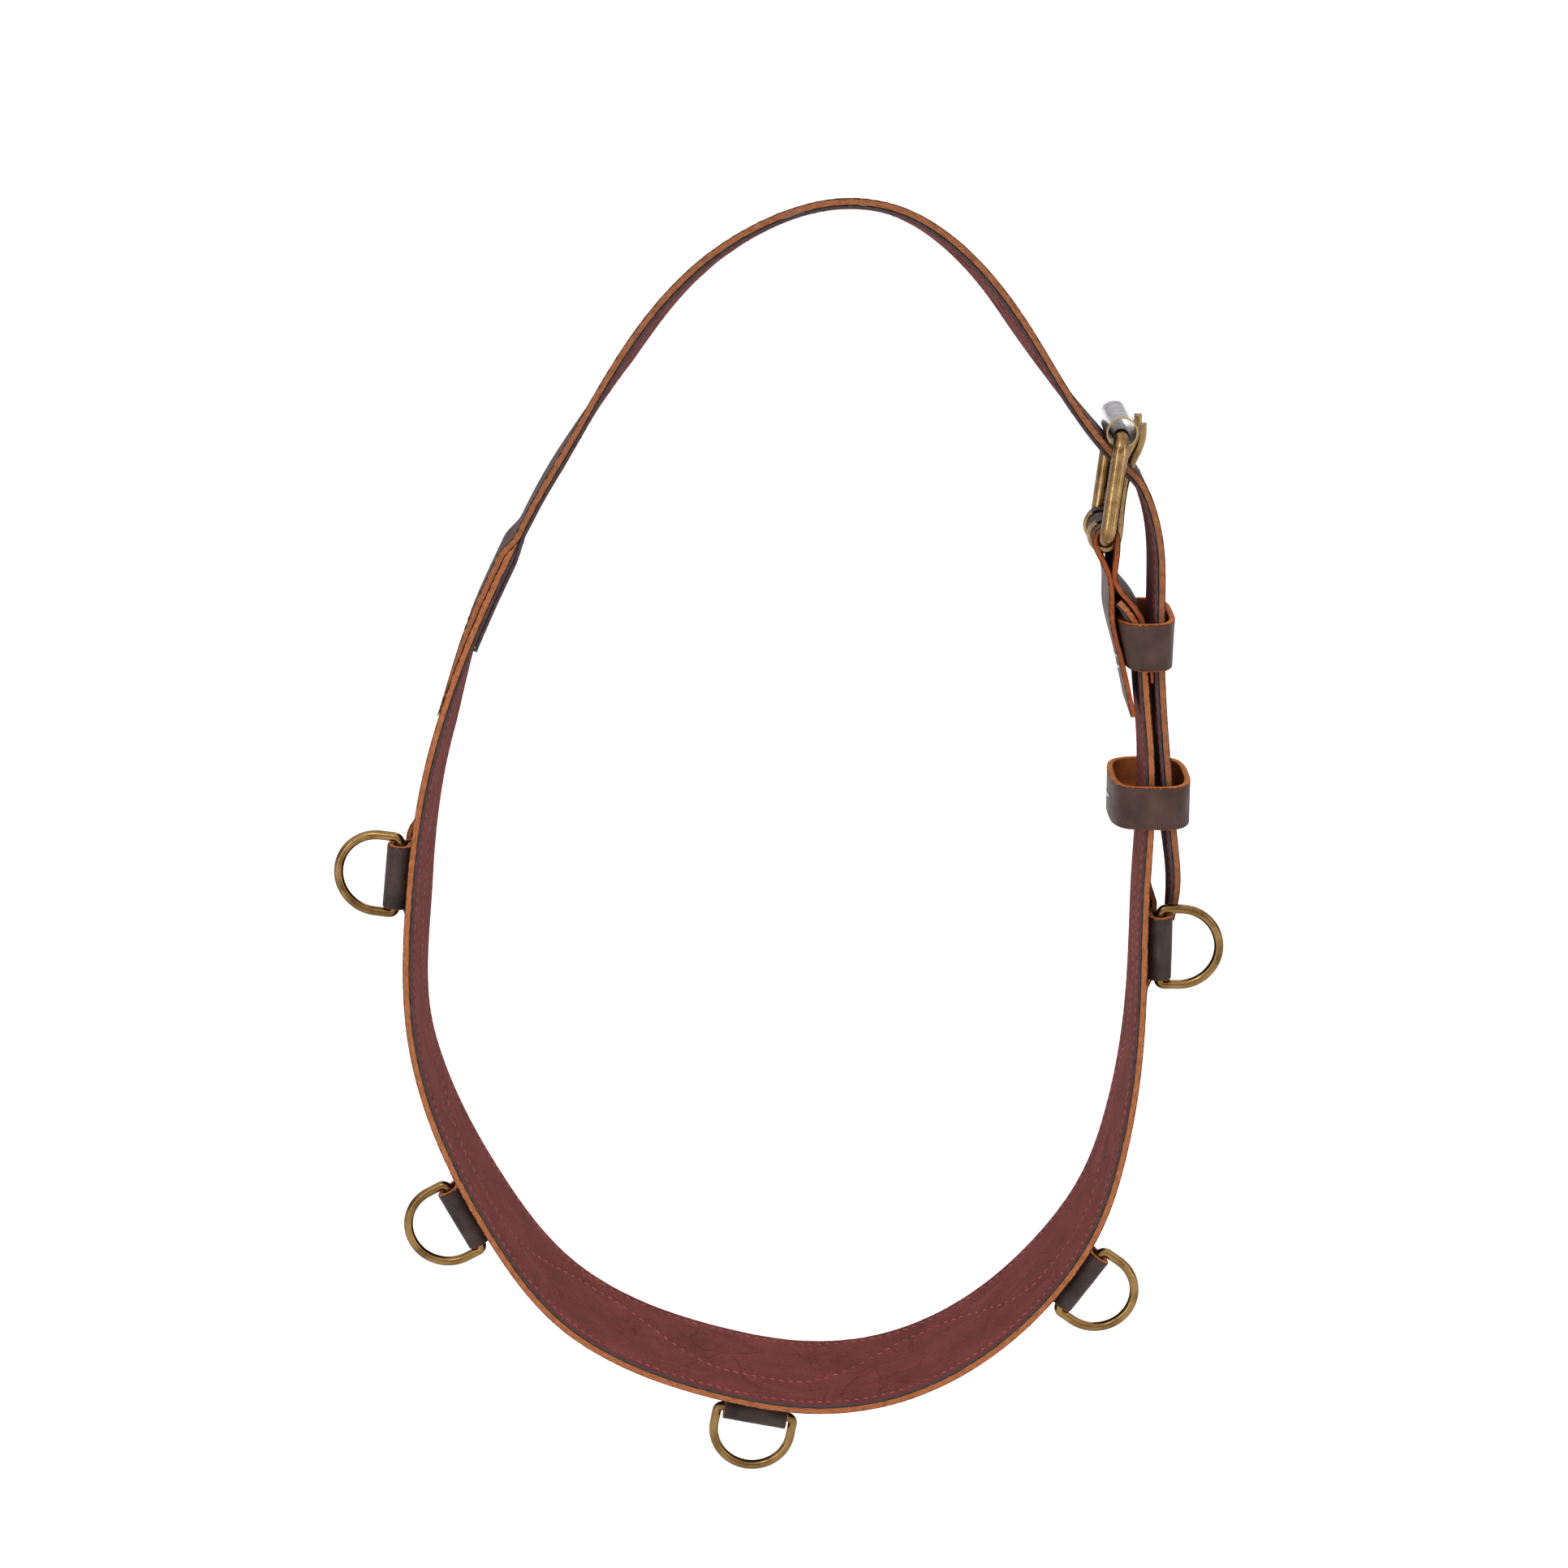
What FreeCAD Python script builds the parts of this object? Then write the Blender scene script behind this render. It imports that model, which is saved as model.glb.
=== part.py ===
"""Leather martingale neck strap with five D-rings and a double-prong roller buckle.

The strap hangs from its crown.  +Z is up, X runs across the loop and Y across the strap.
The origin is the hanging point, on the underside of the strap at the crown.  Millimetres.
"""
import FreeCAD, Part
import math
import os

V = FreeCAD.Vector
os.makedirs("parts", exist_ok=True)
doc = FreeCAD.newDocument("martingale")

# ---------------------------------------------------------------- driving dimensions
DIMENSIONS = {
    "strap_width": 38.0,        # billet and belt ends, 1.5 inch leather
    "belt_widest": 63.5,        # middle of the belt, 2.5 inch
    "ply_outer": 2.4,           # top leather
    "ply_lining": 1.4,          # suede lining
    "overlay_thick": 2.0,       # strip that holds the ring tabs down
    "skived_edge": 0.5,         # thinnest end of the billet's outer ply
    "ring_wire": 3.6,
    "ring_inner": 26.4,         # inside width of a D-ring, for 1 inch
    "ring_reach": 24.4,         # bar centre to the outside of the bow
    "ring_corner": 2.4,         # bend radius where bar meets bow
    "tab_width": 24.8,
    "tab_thick": 2.4,
    "tab_skived": 1.0,          # tab leg under the overlay
    "tab_height": 9.8,          # how far the folded tab stands off the belt
    "bar_inset": 8.5,           # bar centre from the belt's near edge
    "frame_wire": 6.0,
    "frame_inner": 40.0,        # inside width of the buckle
    "frame_reach": 38.7,        # heel bar centre to end bar centre
    "frame_corner": 5.0,
    "roller_od": 11.6,
    "roller_wall": 0.6,
    "roller_length": 37.0,
    "prong_thick": 2.8,
    "prong_width": 4.0,
    "prong_pitch": 20.0,        # distance between the two prongs
    "curl_inner": 3.7,          # inside radius of a prong's curl
    "hole_width": 4.8,
    "hole_length": 9.0,
    "hole_pitch": 25.0,
    "chape_thick": 2.0,
    "keeper_wall": 2.3,
    "keeper_half_depth": 24.0,  # outside of a keeper, across the strap
    "fixed_corner": 7.5,        # outside corner radius of each keeper
    "sliding_corner": 10.0,
    "staple_wire": 1.2,
    "staple_crown": 9.0,
}
sheet = doc.addObject("Spreadsheet::Sheet", "dims")
for row, (alias, value) in enumerate(DIMENSIONS.items(), start=1):
    sheet.set(f"A{row}", alias)
    sheet.set(f"B{row}", str(value))
    sheet.setAlias(f"B{row}", alias)
doc.recompute()


def dim(alias):
    return float(sheet.get(alias))


# ---------------------------------------------------------------- the strap's route
# Outer face of the strap in the XZ plane, from the belt's buckle end, round the bottom
# of the loop, over the crown and through the buckle to the tip of the billet.
BELT_POINTS = [
    (101.9, -143.7), (108.1, -151.9), (111.4, -164), (113.3, -182), (115.3, -202),
    (116.0, -232), (114.9, -260), (114.6, -288), (112.8, -327), (108.0, -358),
    (98.5, -389), (80.5, -417), (53, -443), (18, -460), (-14.5, -463.5),
    (-47, -458), (-81.5, -446), (-110, -427.5), (-137, -391.5), (-160.5, -339),
    (-166, -313), (-167.2, -284), (-165.8, -261), (-159.3, -215.7), (-147.1, -175.2),
    (-134.9, -146), (-126.8, -129),
]
BILLET_POINTS = [
    (-116.2, -108), (-105.6, -90), (-77.8, -44.5), (-54, -18.5), (-28.9, -3),
    (-4.5, 3.8), (18, 1.5), (41, -12), (65.9, -41.2), (87, -74.5),
    (96, -86), (102.3, -92.6), (108.2, -98.3), (113.2, -108), (116.8, -122),
    (118, -140), (118.2, -160), (119.6, -185), (122.4, -214), (125.2, -238),
    (127.3, -258), (126.2, -273),
]


def spline_curvatures(knots, values):
    """Second derivatives of the natural cubic spline through values at knots."""
    count = len(knots)
    upper, right = [0.0] * count, [0.0] * count
    for i in range(1, count - 1):
        before, after = knots[i] - knots[i - 1], knots[i + 1] - knots[i]
        slope_step = (values[i + 1] - values[i]) / after - (values[i] - values[i - 1]) / before
        pivot = 2 * (before + after) - before * upper[i - 1]
        upper[i] = after / pivot
        right[i] = (6 * slope_step - before * right[i - 1]) / pivot
    second = [0.0] * count
    for i in range(count - 2, 0, -1):
        second[i] = right[i] - upper[i] * second[i + 1]
    return second


class Route:
    """Smooth curve through points, read by its length from the first point."""

    STEPS = 24

    def __init__(self, points):
        self.points = points
        self.knots = [0.0]
        for a, b in zip(points, points[1:]):
            self.knots.append(self.knots[-1] + math.hypot(b[0] - a[0], b[1] - a[1]))
        self.second = [spline_curvatures(self.knots, column) for column in zip(*points)]
        self.table = [(0.0, 0.0)]
        last = self.evaluate(0.0)
        for start, end in zip(self.knots, self.knots[1:]):
            for step in range(1, self.STEPS + 1):
                knot = start + (end - start) * step / self.STEPS
                here = self.evaluate(knot)
                length = self.table[-1][0] + math.hypot(here[0] - last[0], here[1] - last[1])
                self.table.append((length, knot))
                last = here
        self.length = self.table[-1][0]

    def evaluate(self, knot):
        span = max(i for i in range(len(self.knots) - 1) if self.knots[i] <= knot or i == 0)
        width = self.knots[span + 1] - self.knots[span]
        b = (knot - self.knots[span]) / width
        a = 1 - b
        result = []
        for column, second in enumerate(self.second):
            bend = (a ** 3 - a) * second[span] + (b ** 3 - b) * second[span + 1]
            line = a * self.points[span][column] + b * self.points[span + 1][column]
            result.append(line + bend * width ** 2 / 6)
        return result

    def knot_at(self, length):
        low, high = 0, len(self.table) - 1
        while high - low > 1:
            middle = (low + high) // 2
            if self.table[middle][0] <= length:
                low = middle
            else:
                high = middle
        (l0, k0), (l1, k1) = self.table[low], self.table[high]
        return k0 + (k1 - k0) * (length - l0) / (l1 - l0)

    def at(self, length):
        return self.evaluate(self.knot_at(length))

    def direction(self, length):
        reach = 0.5
        a, b = self.at(max(length - reach, 0.0)), self.at(min(length + reach, self.length))
        size = math.hypot(b[0] - a[0], b[1] - a[1])
        return (b[0] - a[0]) / size, (b[1] - a[1]) / size


LOOP = Route(BELT_POINTS + BILLET_POINTS)
BELT_END = LOOP.table[LOOP.STEPS * (len(BELT_POINTS) - 1)][0]
TIP = LOOP.length
HALF = dim("strap_width") / 2
PLY = dim("ply_outer") + dim("ply_lining")
TAPER_START, TAPER_END = BELT_END - 64, BELT_END - 20    # skived end of the outer ply
LINING_START = BELT_END - 36
NECK_START, NECK_END = BELT_END + 0.5, BELT_END + 11     # where the plies close up
TAIL = 36.0
TIP_HALF = 1.6
CLEAR = 0.1             # between soft pieces of one body


def smooth(value, start, end):
    """0 before start, 1 after end, an S-curve between."""
    u = min(max((value - start) / (end - start), 0.0), 1.0)
    return u * u * (3 - 2 * u)


def belt_width(s):
    swell = smooth(s, 80, 300) * (1 - smooth(s, 480, 745))
    return dim("strap_width") + (dim("belt_widest") - dim("strap_width")) * swell


def twist(s):
    """Turn of the strap about its own length, in degrees, where it hangs unevenly."""
    below_splice = 4.6 * smooth(s, 610, 678) * (1 - smooth(s, 740, 785))
    over_crown = 6.5 * smooth(s, 850, 915) * (1 - smooth(s, 1090, 1150))
    return below_splice + over_crown


class Station:
    """Frame of the strap at one length: along, outward and across, at the near edge."""

    def __init__(self, s):
        x, z = LOOP.at(s)
        tx, tz = LOOP.direction(s)
        turn = math.radians(twist(s))
        flat_normal, flat_across = V(-tz, 0, tx), V(0, 1, 0)
        self.width = belt_width(s)
        self.along = V(tx, 0, tz)
        self.outward = flat_normal * math.cos(turn) + flat_across * math.sin(turn)
        self.across = flat_across * math.cos(turn) - flat_normal * math.sin(turn)
        self.near_edge = V(x, -self.width / 2, z)

    def point(self, off, across):
        return self.near_edge + self.outward * off + self.across * across

    def placement(self, off, across):
        """Placement with local x across, y outward and z along."""
        rotation = FreeCAD.Rotation(self.across, self.outward, self.along, "ZYX")
        return FreeCAD.Placement(self.point(off, across), rotation)


# ---------------------------------------------------------------- helpers
def feature(name, shape):
    obj = doc.addObject("Part::Feature", name)
    obj.Shape = shape
    obj.Label = name
    return obj


FORWARD = 1      # both rails of a ruled face run the same way
FACE_RUN = 60    # longest face along the strap


def bar_solid(lengths, corner_rows):
    """Solid whose section is the four corners of each row, in order round the section."""
    span = lengths[-1] - lengths[0]
    parameters = [(s - lengths[0]) / span for s in lengths]
    curves = []
    for corner in range(4):
        curve = Part.BSplineCurve()
        curve.interpolate(Points=[row[corner] for row in corner_rows], Parameters=parameters)
        curves.append(curve)
    faces = []
    runs = math.ceil(span / FACE_RUN)
    for run in range(runs):
        edges = [curve.toShape(run / runs, (run + 1) / runs) for curve in curves]
        faces += [Part.makeRuledSurface(edges[i], edges[(i + 1) % 4], FORWARD) for i in range(4)]
    for row in (corner_rows[0], corner_rows[-1]):
        faces.append(Part.Face(Part.makePolygon(list(row) + [row[0]])))
    shell = Part.makeShell(faces)
    shell.sewShape()
    solid = Part.makeSolid(shell)
    if solid.Volume < 0:
        solid.reverse()
    return solid


def grid(start, end):
    """Lengths shared by every ply: coarse on even strap, fine at the splice and the tail."""
    coarse, fine = 5.0, 1.25
    lengths = [start]
    for i in range(math.floor(start / fine) + 1, math.ceil(end / fine)):
        s = i * fine
        busy = BELT_END - 6 < s < NECK_END + 6 or s > TIP - TAIL
        margin = 0.4 * (fine if busy else coarse)
        if (busy or i % round(coarse / fine) == 0) and start + margin < s < end - margin:
            lengths.append(s)
    return lengths + [end]


def strap_ply(start, end, top, bottom, near, far):
    """Ply of the strap between two lengths; its faces and edges are functions of length."""
    rows = []
    lengths = grid(start, end)
    for s in lengths:
        station = Station(s)
        rows.append([
            station.point(top(s), near(s)), station.point(top(s), far(s)),
            station.point(bottom(s), far(s)), station.point(bottom(s), near(s)),
        ])
    return bar_solid(lengths, rows)


def ribbon_face(points, steps):
    """Flat face of a bent strip: points are (x, y, thickness) down its middle."""
    route = Route(points)
    left, right = [], []
    for i in range(steps + 1):
        length = route.length * i / steps
        x, y, thick = route.at(length)
        tx, ty = route.direction(length)
        left.append(V(x - ty * thick / 2, y + tx * thick / 2, 0))
        right.append(V(x + ty * thick / 2, y - tx * thick / 2, 0))
    sides = []
    for side in (left, right):
        curve = Part.BSplineCurve()
        curve.interpolate(side)
        sides.append(curve.toShape())
    ends = [Part.makeLine(left[0], right[0]), Part.makeLine(left[-1], right[-1])]
    wire = Part.Wire(Part.__sortEdges__(sides + ends))
    return Part.Face(wire)


def extrude(name, face, width_cell, along):
    """Strip of the sheet's width, extruded both ways from the middle."""
    profile = feature(name + "_profile", face)
    obj = doc.addObject("Part::Extrusion", name)
    obj.Base = profile
    obj.DirMode = "Custom"
    obj.Dir = along
    obj.Solid = True
    obj.Symmetric = True
    obj.setExpression("LengthFwd", "dims." + width_cell)
    obj.Label = name
    return obj


def rod(name, radius, length, base, along):
    """Cylinder of the sheet's sizes that starts at base."""
    obj = doc.addObject("Part::Cylinder", name)
    obj.setExpression("Radius", radius)
    obj.setExpression("Height", length)
    obj.Placement = FreeCAD.Placement(base, FreeCAD.Rotation(V(0, 0, 1), along))
    return obj


def bend(name, wire_radius, bend_radius, centre, x_axis, y_axis, angle):
    """Part of a torus from x_axis towards y_axis."""
    obj = doc.addObject("Part::Torus", name)
    obj.setExpression("Radius1", bend_radius)
    obj.setExpression("Radius2", wire_radius)
    obj.Angle3 = angle
    rotation = FreeCAD.Rotation(x_axis, y_axis, x_axis.cross(y_axis), "ZXY")
    obj.Placement = FreeCAD.Placement(centre, rotation)
    return obj


def fuse(name, pieces, placement):
    obj = doc.addObject("Part::MultiFuse", name)
    obj.Shapes = pieces
    obj.Refine = True
    obj.Placement = placement
    obj.Label = name
    return obj


def cut(name, base, tool):
    obj = doc.addObject("Part::Cut", name)
    obj.Base = base
    obj.Tool = tool
    obj.Label = name
    return obj


def turned(placement_base, heel_to_end):
    """Placement with local x along the buckle, y across the strap."""
    across = V(0, 1, 0)
    rotation = FreeCAD.Rotation(heel_to_end, across, heel_to_end.cross(across), "ZXY")
    return FreeCAD.Placement(placement_base, rotation)


nodes = []

# ---------------------------------------------------------------- belt and billet


def billet_top(s):
    """Outer face of the billet: over the belt at the splice, then the route itself."""
    skived = dim("skived_edge")
    over_belt = skived + (dim("ply_outer") - skived) * smooth(s, TAPER_START, TAPER_END)
    return (over_belt + CLEAR) * (1 - smooth(s, NECK_START, NECK_END))


def billet_split(s):
    """Bottom of the billet's outer ply."""
    return CLEAR - (dim("ply_outer") + CLEAR) * smooth(s, NECK_START, NECK_END)


def lining_top(s):
    return -(PLY + CLEAR) + dim("ply_lining") * smooth(s, NECK_START, NECK_END)


def tail_inset(s):
    """How far the pointed tail has drawn in from the strap's edge."""
    left = max(TIP - s, 0.0) / TAIL
    if left >= 1:
        return 0.0
    return (HALF - TIP_HALF) * (1 - left) ** 1.25


def join_tail(s_start, top, bottom):
    """Billet ply: the even strap and its pointed tail, fused."""
    width = dim("strap_width")
    tail_start = TIP - TAIL
    body = strap_ply(s_start, tail_start, top, bottom, lambda s: 0.0, lambda s: width)
    tail = strap_ply(tail_start, TIP, top, bottom, tail_inset,
                     lambda s: width - tail_inset(s))
    return body.fuse(tail).removeSplitter()


HOLE_AT = TIP - 181.0    # middle of the hole that the prongs are through
HOLES_EACH_WAY = 4


def hole_cutters():
    """Pairs of oval punched holes along the billet, square to its face."""
    length, width = dim("hole_length"), dim("hole_width")
    straight, below, deep = length - width, -3 * PLY, 4 * PLY
    cutters = []
    for step in range(-HOLES_EACH_WAY, HOLES_EACH_WAY + 1):
        station = Station(HOLE_AT + step * dim("hole_pitch"))
        for side in (-1, 1):
            middle = Part.makeBox(width, deep, straight, V(-width / 2, below, -straight / 2))
            ends = [Part.makeCylinder(width / 2, deep, V(0, below, end * straight / 2), V(0, 1, 0))
                    for end in (-1, 1)]
            cutter = middle.fuse(ends)
            cutter.Placement = station.placement(0, HALF + side * dim("prong_pitch") / 2)
            cutters.append(cutter)
    return cutters


belt_edges = {"near": lambda s: 0.0, "far": belt_width}
nodes.append(feature("belt_outer", strap_ply(
    0, BELT_END, lambda s: 0.0, lambda s: -dim("ply_outer"), **belt_edges)))
nodes.append(feature("belt_lining", strap_ply(
    0, BELT_END, lambda s: -dim("ply_outer"), lambda s: -PLY, **belt_edges)))

punches = hole_cutters()
billet_outer = join_tail(TAPER_START, billet_top, billet_split)
billet_lining = join_tail(LINING_START, lining_top, lambda s: lining_top(s) - dim("ply_lining"))
nodes.append(feature("billet_outer", billet_outer.cut(punches)))
nodes.append(feature("billet_lining", billet_lining.cut(punches)))

# ---------------------------------------------------------------- D-rings, tabs, overlay
RING_AT = {1: 687.2, 2: 551.6, 3: 412.1, 4: 272.7, 5: 139.0}
OVERLAY_START, OVERLAY_END = 110.0, 720.0
TAB_MARGIN = 4.0
FOLD_RUN = 11.0         # from the bar to where the tab's two legs lie flat
CHORD_GAP = 0.7         # a flat tab stands this far off the curved belt at its ends


def overlay_lift(s):
    """Height that the tab legs lift the overlay off the belt."""
    lift = 0.0
    for centre in RING_AT.values():
        away = abs(s - centre)
        half = dim("tab_width") / 2
        lift = max(lift, 1 - smooth(away, half + 2.5, half + 13))
    return 3.5 * CLEAR + (2 * dim("tab_skived") + CLEAR + CHORD_GAP) * lift


def overlay_near(s):
    """Scalloped edge: near the rings at each tab, far back between them."""
    width = belt_width(s)
    nearest = min(abs(s - centre) for centre in RING_AT.values())
    dip = 1 - smooth(nearest, 14, 66)
    forward = max(0.33 * width, dim("bar_inset") + FOLD_RUN + 0.5)
    back = 0.76 * width
    return back + (forward - back) * dip


def tab_profile(width):
    """Middle line and thickness of a folded ring tab: x across, y outward."""
    thick, thin = dim("tab_thick"), dim("tab_skived")
    inset, height = dim("bar_inset"), dim("tab_height")
    end = width - TAB_MARGIN
    middle, radius = (height + CLEAR) / 2, (height - CLEAR - thick) / 2
    start = inset + FOLD_RUN
    count = round((end - start) / 4)
    flat = [start + (end - start) * i / count for i in range(count + 1)]
    points = [(across, thin / 2 + CLEAR, thin) for across in reversed(flat)]
    points.append((inset + 7, (thick + thin) / 4 + CLEAR, (thick + thin) / 2))
    points.append((inset + 3, thick / 2 + CLEAR, thick))
    for angle in range(-90, -271, -30):
        a = math.radians(angle)
        points.append((inset + radius * math.cos(a), middle + radius * math.sin(a), thick))
    points.append((inset + 3, height - thick / 2 - 0.6, thick))
    points.append((inset + 5.8, height - thick / 2 - 3.2, 0.8 * thick))
    points.append((inset + 8.3, 1.5 * thin + 1.4, thin))
    points += [(across, 1.5 * thin + 3 * CLEAR, thin) for across in flat]
    return points


def ring_tab(index):
    station = Station(RING_AT[index])
    face = ribbon_face(tab_profile(station.width), 60)
    tab = extrude(f"ring_tab_{index}", face, "tab_width", V(0, 0, 1))
    tab.Placement = station.placement(0, 0)
    return tab


def d_ring(index):
    """Round wire bent to a D: x along the bar, y out to the bow."""
    name = f"d_ring_{index}"
    wire, corner = dim("ring_wire") / 2, dim("ring_corner")
    half = dim("ring_inner") / 2 + wire
    bow = dim("ring_reach") - wire - half
    radius = "dims.ring_wire / 2"
    half_cell = "(dims.ring_inner + dims.ring_wire) / 2"
    bow_cell = f"(dims.ring_reach - dims.ring_wire / 2 - {half_cell})"
    x, y = V(1, 0, 0), V(0, 1, 0)
    pieces = [
        rod(name + "_bar", radius, f"2 * ({half_cell} - dims.ring_corner)", V(corner - half, 0, 0), x),
        bend(name + "_bow", radius, half_cell, V(0, bow, 0), x, y, 180),
    ]
    for side in (-1, 1):
        tag = "left" if side < 0 else "right"
        pieces.append(rod(f"{name}_{tag}", radius, f"{bow_cell} - dims.ring_corner",
                          V(side * half, corner, 0), y))
        start, turn = (x, -y) if side > 0 else (-y, -x)
        pieces.append(bend(f"{name}_{tag}_corner", radius, "dims.ring_corner",
                           V(side * (half - corner), corner, 0), turn, start, 90))
    station = Station(RING_AT[index])
    square = station.along.cross(station.outward)
    rotation = FreeCAD.Rotation(station.along, station.outward, square, "ZXY")
    middle = station.point((dim("tab_height") + CLEAR) / 2, dim("bar_inset"))
    place = FreeCAD.Placement(middle, rotation)
    return fuse(name, pieces, place)


nodes.append(feature("ring_overlay", strap_ply(
    OVERLAY_START, OVERLAY_END, lambda s: overlay_lift(s) + dim("overlay_thick"), overlay_lift,
    overlay_near, lambda s: belt_width(s) - 0.5)))
for index in RING_AT:
    nodes.append(ring_tab(index))
    nodes.append(d_ring(index))

# ---------------------------------------------------------------- buckle
HEEL = V(95.7, 0, -121.3)
BUCKLE_LEAN = 7.0       # degrees that the buckle leans outward from upright
HEEL_TO_END = V(math.sin(math.radians(BUCKLE_LEAN)), 0, math.cos(math.radians(BUCKLE_LEAN)))
END_BAR = HEEL + HEEL_TO_END * dim("frame_reach")
ROLLER_RIDE = V(0.3, 0, 1.4)    # the strap pushes the loose roller this far off centre


def buckle_frame():
    """Closed rectangle of round wire: x from heel bar to end bar, y across the strap."""
    corner = dim("frame_corner")
    half = (dim("frame_inner") + dim("frame_wire")) / 2
    reach = dim("frame_reach")
    radius, corner_cell = "dims.frame_wire / 2", "dims.frame_corner"
    across_cell = "dims.frame_inner + dims.frame_wire - 2 * dims.frame_corner"
    x, y = V(1, 0, 0), V(0, 1, 0)
    pieces = []
    for end, at in (("heel", 0.0), ("end", reach)):
        pieces.append(rod(f"frame_{end}_bar", radius, across_cell, V(at, corner - half, 0), y))
    for side in (-1, 1):
        tag = "near" if side < 0 else "far"
        pieces.append(rod(f"frame_{tag}_side", radius, "dims.frame_reach - 2 * dims.frame_corner",
                          V(corner, side * half, 0), x))
        for end, at, out in (("heel", corner, -1), ("end", reach - corner, 1)):
            axes = (x * out, y * side) if out * side > 0 else (y * side, x * out)
            pieces.append(bend(f"frame_{tag}_{end}_corner", radius, corner_cell,
                               V(at, side * (half - corner), 0), axes[0], axes[1], 90))
    return fuse("buckle_frame", pieces, turned(HEEL, HEEL_TO_END))


def buckle_roller():
    outer = doc.addObject("Part::Cylinder", "roller_outside")
    outer.setExpression("Radius", "dims.roller_od / 2")
    outer.setExpression("Height", "dims.roller_length")
    inner = doc.addObject("Part::Cylinder", "roller_inside")
    inner.setExpression("Radius", "dims.roller_od / 2 - dims.roller_wall")
    inner.setExpression("Height", "dims.roller_length")
    roller = cut("buckle_roller", outer, inner)
    start = END_BAR + ROLLER_RIDE - V(0, dim("roller_length") / 2, 0)
    roller.Placement = FreeCAD.Placement(start, FreeCAD.Rotation(V(0, 0, 1), V(0, 1, 0)))
    return roller


def prong(name, side):
    """Flat prong: an open curl round the heel bar, a straight shank and a cranked tip."""
    thick = dim("prong_thick")
    radius = dim("curl_inner") + thick / 2
    points = []
    for degrees in range(120, 361, 30):
        a = math.radians(degrees)
        points.append((HEEL.x + radius * math.cos(a), HEEL.z + radius * math.sin(a), thick))
    shank = [(101.4, -114), (102.1, -106), (103.4, -99.2), (105.5, -93), (107.9, -87.6),
             (108.7, -84.4), (108.8, -79.4)]
    points += [(x, z, thick) for x, z in shank]
    face = ribbon_face(points, 70)
    face.rotate(V(0, 0, 0), V(1, 0, 0), 90)
    obj = extrude(name, face, "prong_width", V(0, 1, 0))
    obj.Placement = FreeCAD.Placement(V(0, side * dim("prong_pitch") / 2, 0), FreeCAD.Rotation())
    return obj


def buckle_chape():
    """Leather folded round the heel bar, with the belt's end between its two legs."""
    thick = dim("chape_thick")
    radius = dim("frame_wire") / 2 + 0.3 + thick / 2
    points = [(x, z, thick) for x, z in (
        (107.2, -188.5), (104.9, -178), (102.5, -168), (100.0, -159), (98.1, -150.5), (97.6, -142.5),
        (96.9, -134.5), (93.9, -128.2))]
    for degrees in range(190, -11, -40):
        a = math.radians(degrees)
        points.append((HEEL.x + radius * math.cos(a), HEEL.z + radius * math.sin(a), thick))
    points += [(x, z, thick) for x, z in (
        (99.7, -128.5), (99.4, -134.2), (100.7, -139.2), (103.6, -143.0), (107.9, -148.7),
        (110.8, -155.0), (112.8, -163.5))]
    points.append((114.0, -175.5, 0.6 * thick))
    face = ribbon_face(points, 90)
    face.rotate(V(0, 0, 0), V(1, 0, 0), 90)
    strip = extrude("chape_strip", face, "strap_width", V(0, 1, 0))
    slots = []
    for side in (-1, 1):
        slot = doc.addObject("Part::Cylinder", f"prong_slot_{'near' if side < 0 else 'far'}")
        slot.setExpression("Radius", "dims.curl_inner + dims.prong_thick + 0.5")
        slot.setExpression("Height", "dims.prong_width + 1.2")
        width = dim("prong_width") + 1.2
        base = HEEL + V(0, side * dim("prong_pitch") / 2 - width / 2, 0)
        slot.Placement = FreeCAD.Placement(base, FreeCAD.Rotation(V(0, 0, 1), V(0, 1, 0)))
        slots.append(slot)
    both = fuse("prong_slots", slots, FreeCAD.Placement())
    return cut("buckle_chape", strip, both)


nodes.append(buckle_frame())
nodes.append(buckle_roller())
nodes.append(prong("buckle_prong_near", -1))
nodes.append(prong("buckle_prong_far", 1))
nodes.append(buckle_chape())


# ---------------------------------------------------------------- keepers
def rounded_loop(x0, x1, half_y, corner, z):
    """Closed level wire at height z: a rectangle with round corners."""
    edges = []
    middles = [(x1 - corner, half_y - corner, 0), (x0 + corner, half_y - corner, 90),
               (x0 + corner, corner - half_y, 180), (x1 - corner, corner - half_y, 270)]
    arcs = [Part.makeCircle(corner, V(x, y, z), V(0, 0, 1), start, start + 90)
            for x, y, start in middles]
    for arc, after in zip(arcs, arcs[1:] + arcs[:1]):
        ends = arc.valueAt(arc.LastParameter), after.valueAt(after.FirstParameter)
        edges += [arc, Part.makeLine(*ends)]
    return Part.Wire(edges)


def keeper(name, corner_cell, bottom, top):
    """Leather loop between two levels: bottom and top are (x0, x1, z)."""
    wall, depth, corner = dim("keeper_wall"), dim("keeper_half_depth"), dim(corner_cell)
    lofts = []
    for tag, inset in (("outside", 0.0), ("inside", wall)):
        sections = []
        for level, (x0, x1, z) in (("bottom", bottom), ("top", top)):
            wire = rounded_loop(x0 + inset, x1 - inset, depth - inset, corner - inset, z)
            sections.append(feature(f"{name}_{tag}_{level}", wire))
        loft = doc.addObject("Part::Loft", f"{name}_{tag}")
        loft.Sections = sections
        loft.Solid = True
        loft.Ruled = True
        lofts.append(loft)
    return cut(name, lofts[0], lofts[1])


FIXED_BOTTOM, FIXED_TOP = (104.9, 121.8, -170.0), (100.1, 122.5, -152.0)
SLIDING_BOTTOM, SLIDING_TOP = (100.6, 129.4, -231.0), (100.6, 129.4, -214.4)
nodes.append(keeper("fixed_keeper", "fixed_corner", FIXED_BOTTOM, FIXED_TOP))
nodes.append(keeper("sliding_keeper", "sliding_corner", SLIDING_BOTTOM, SLIDING_TOP))

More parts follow.
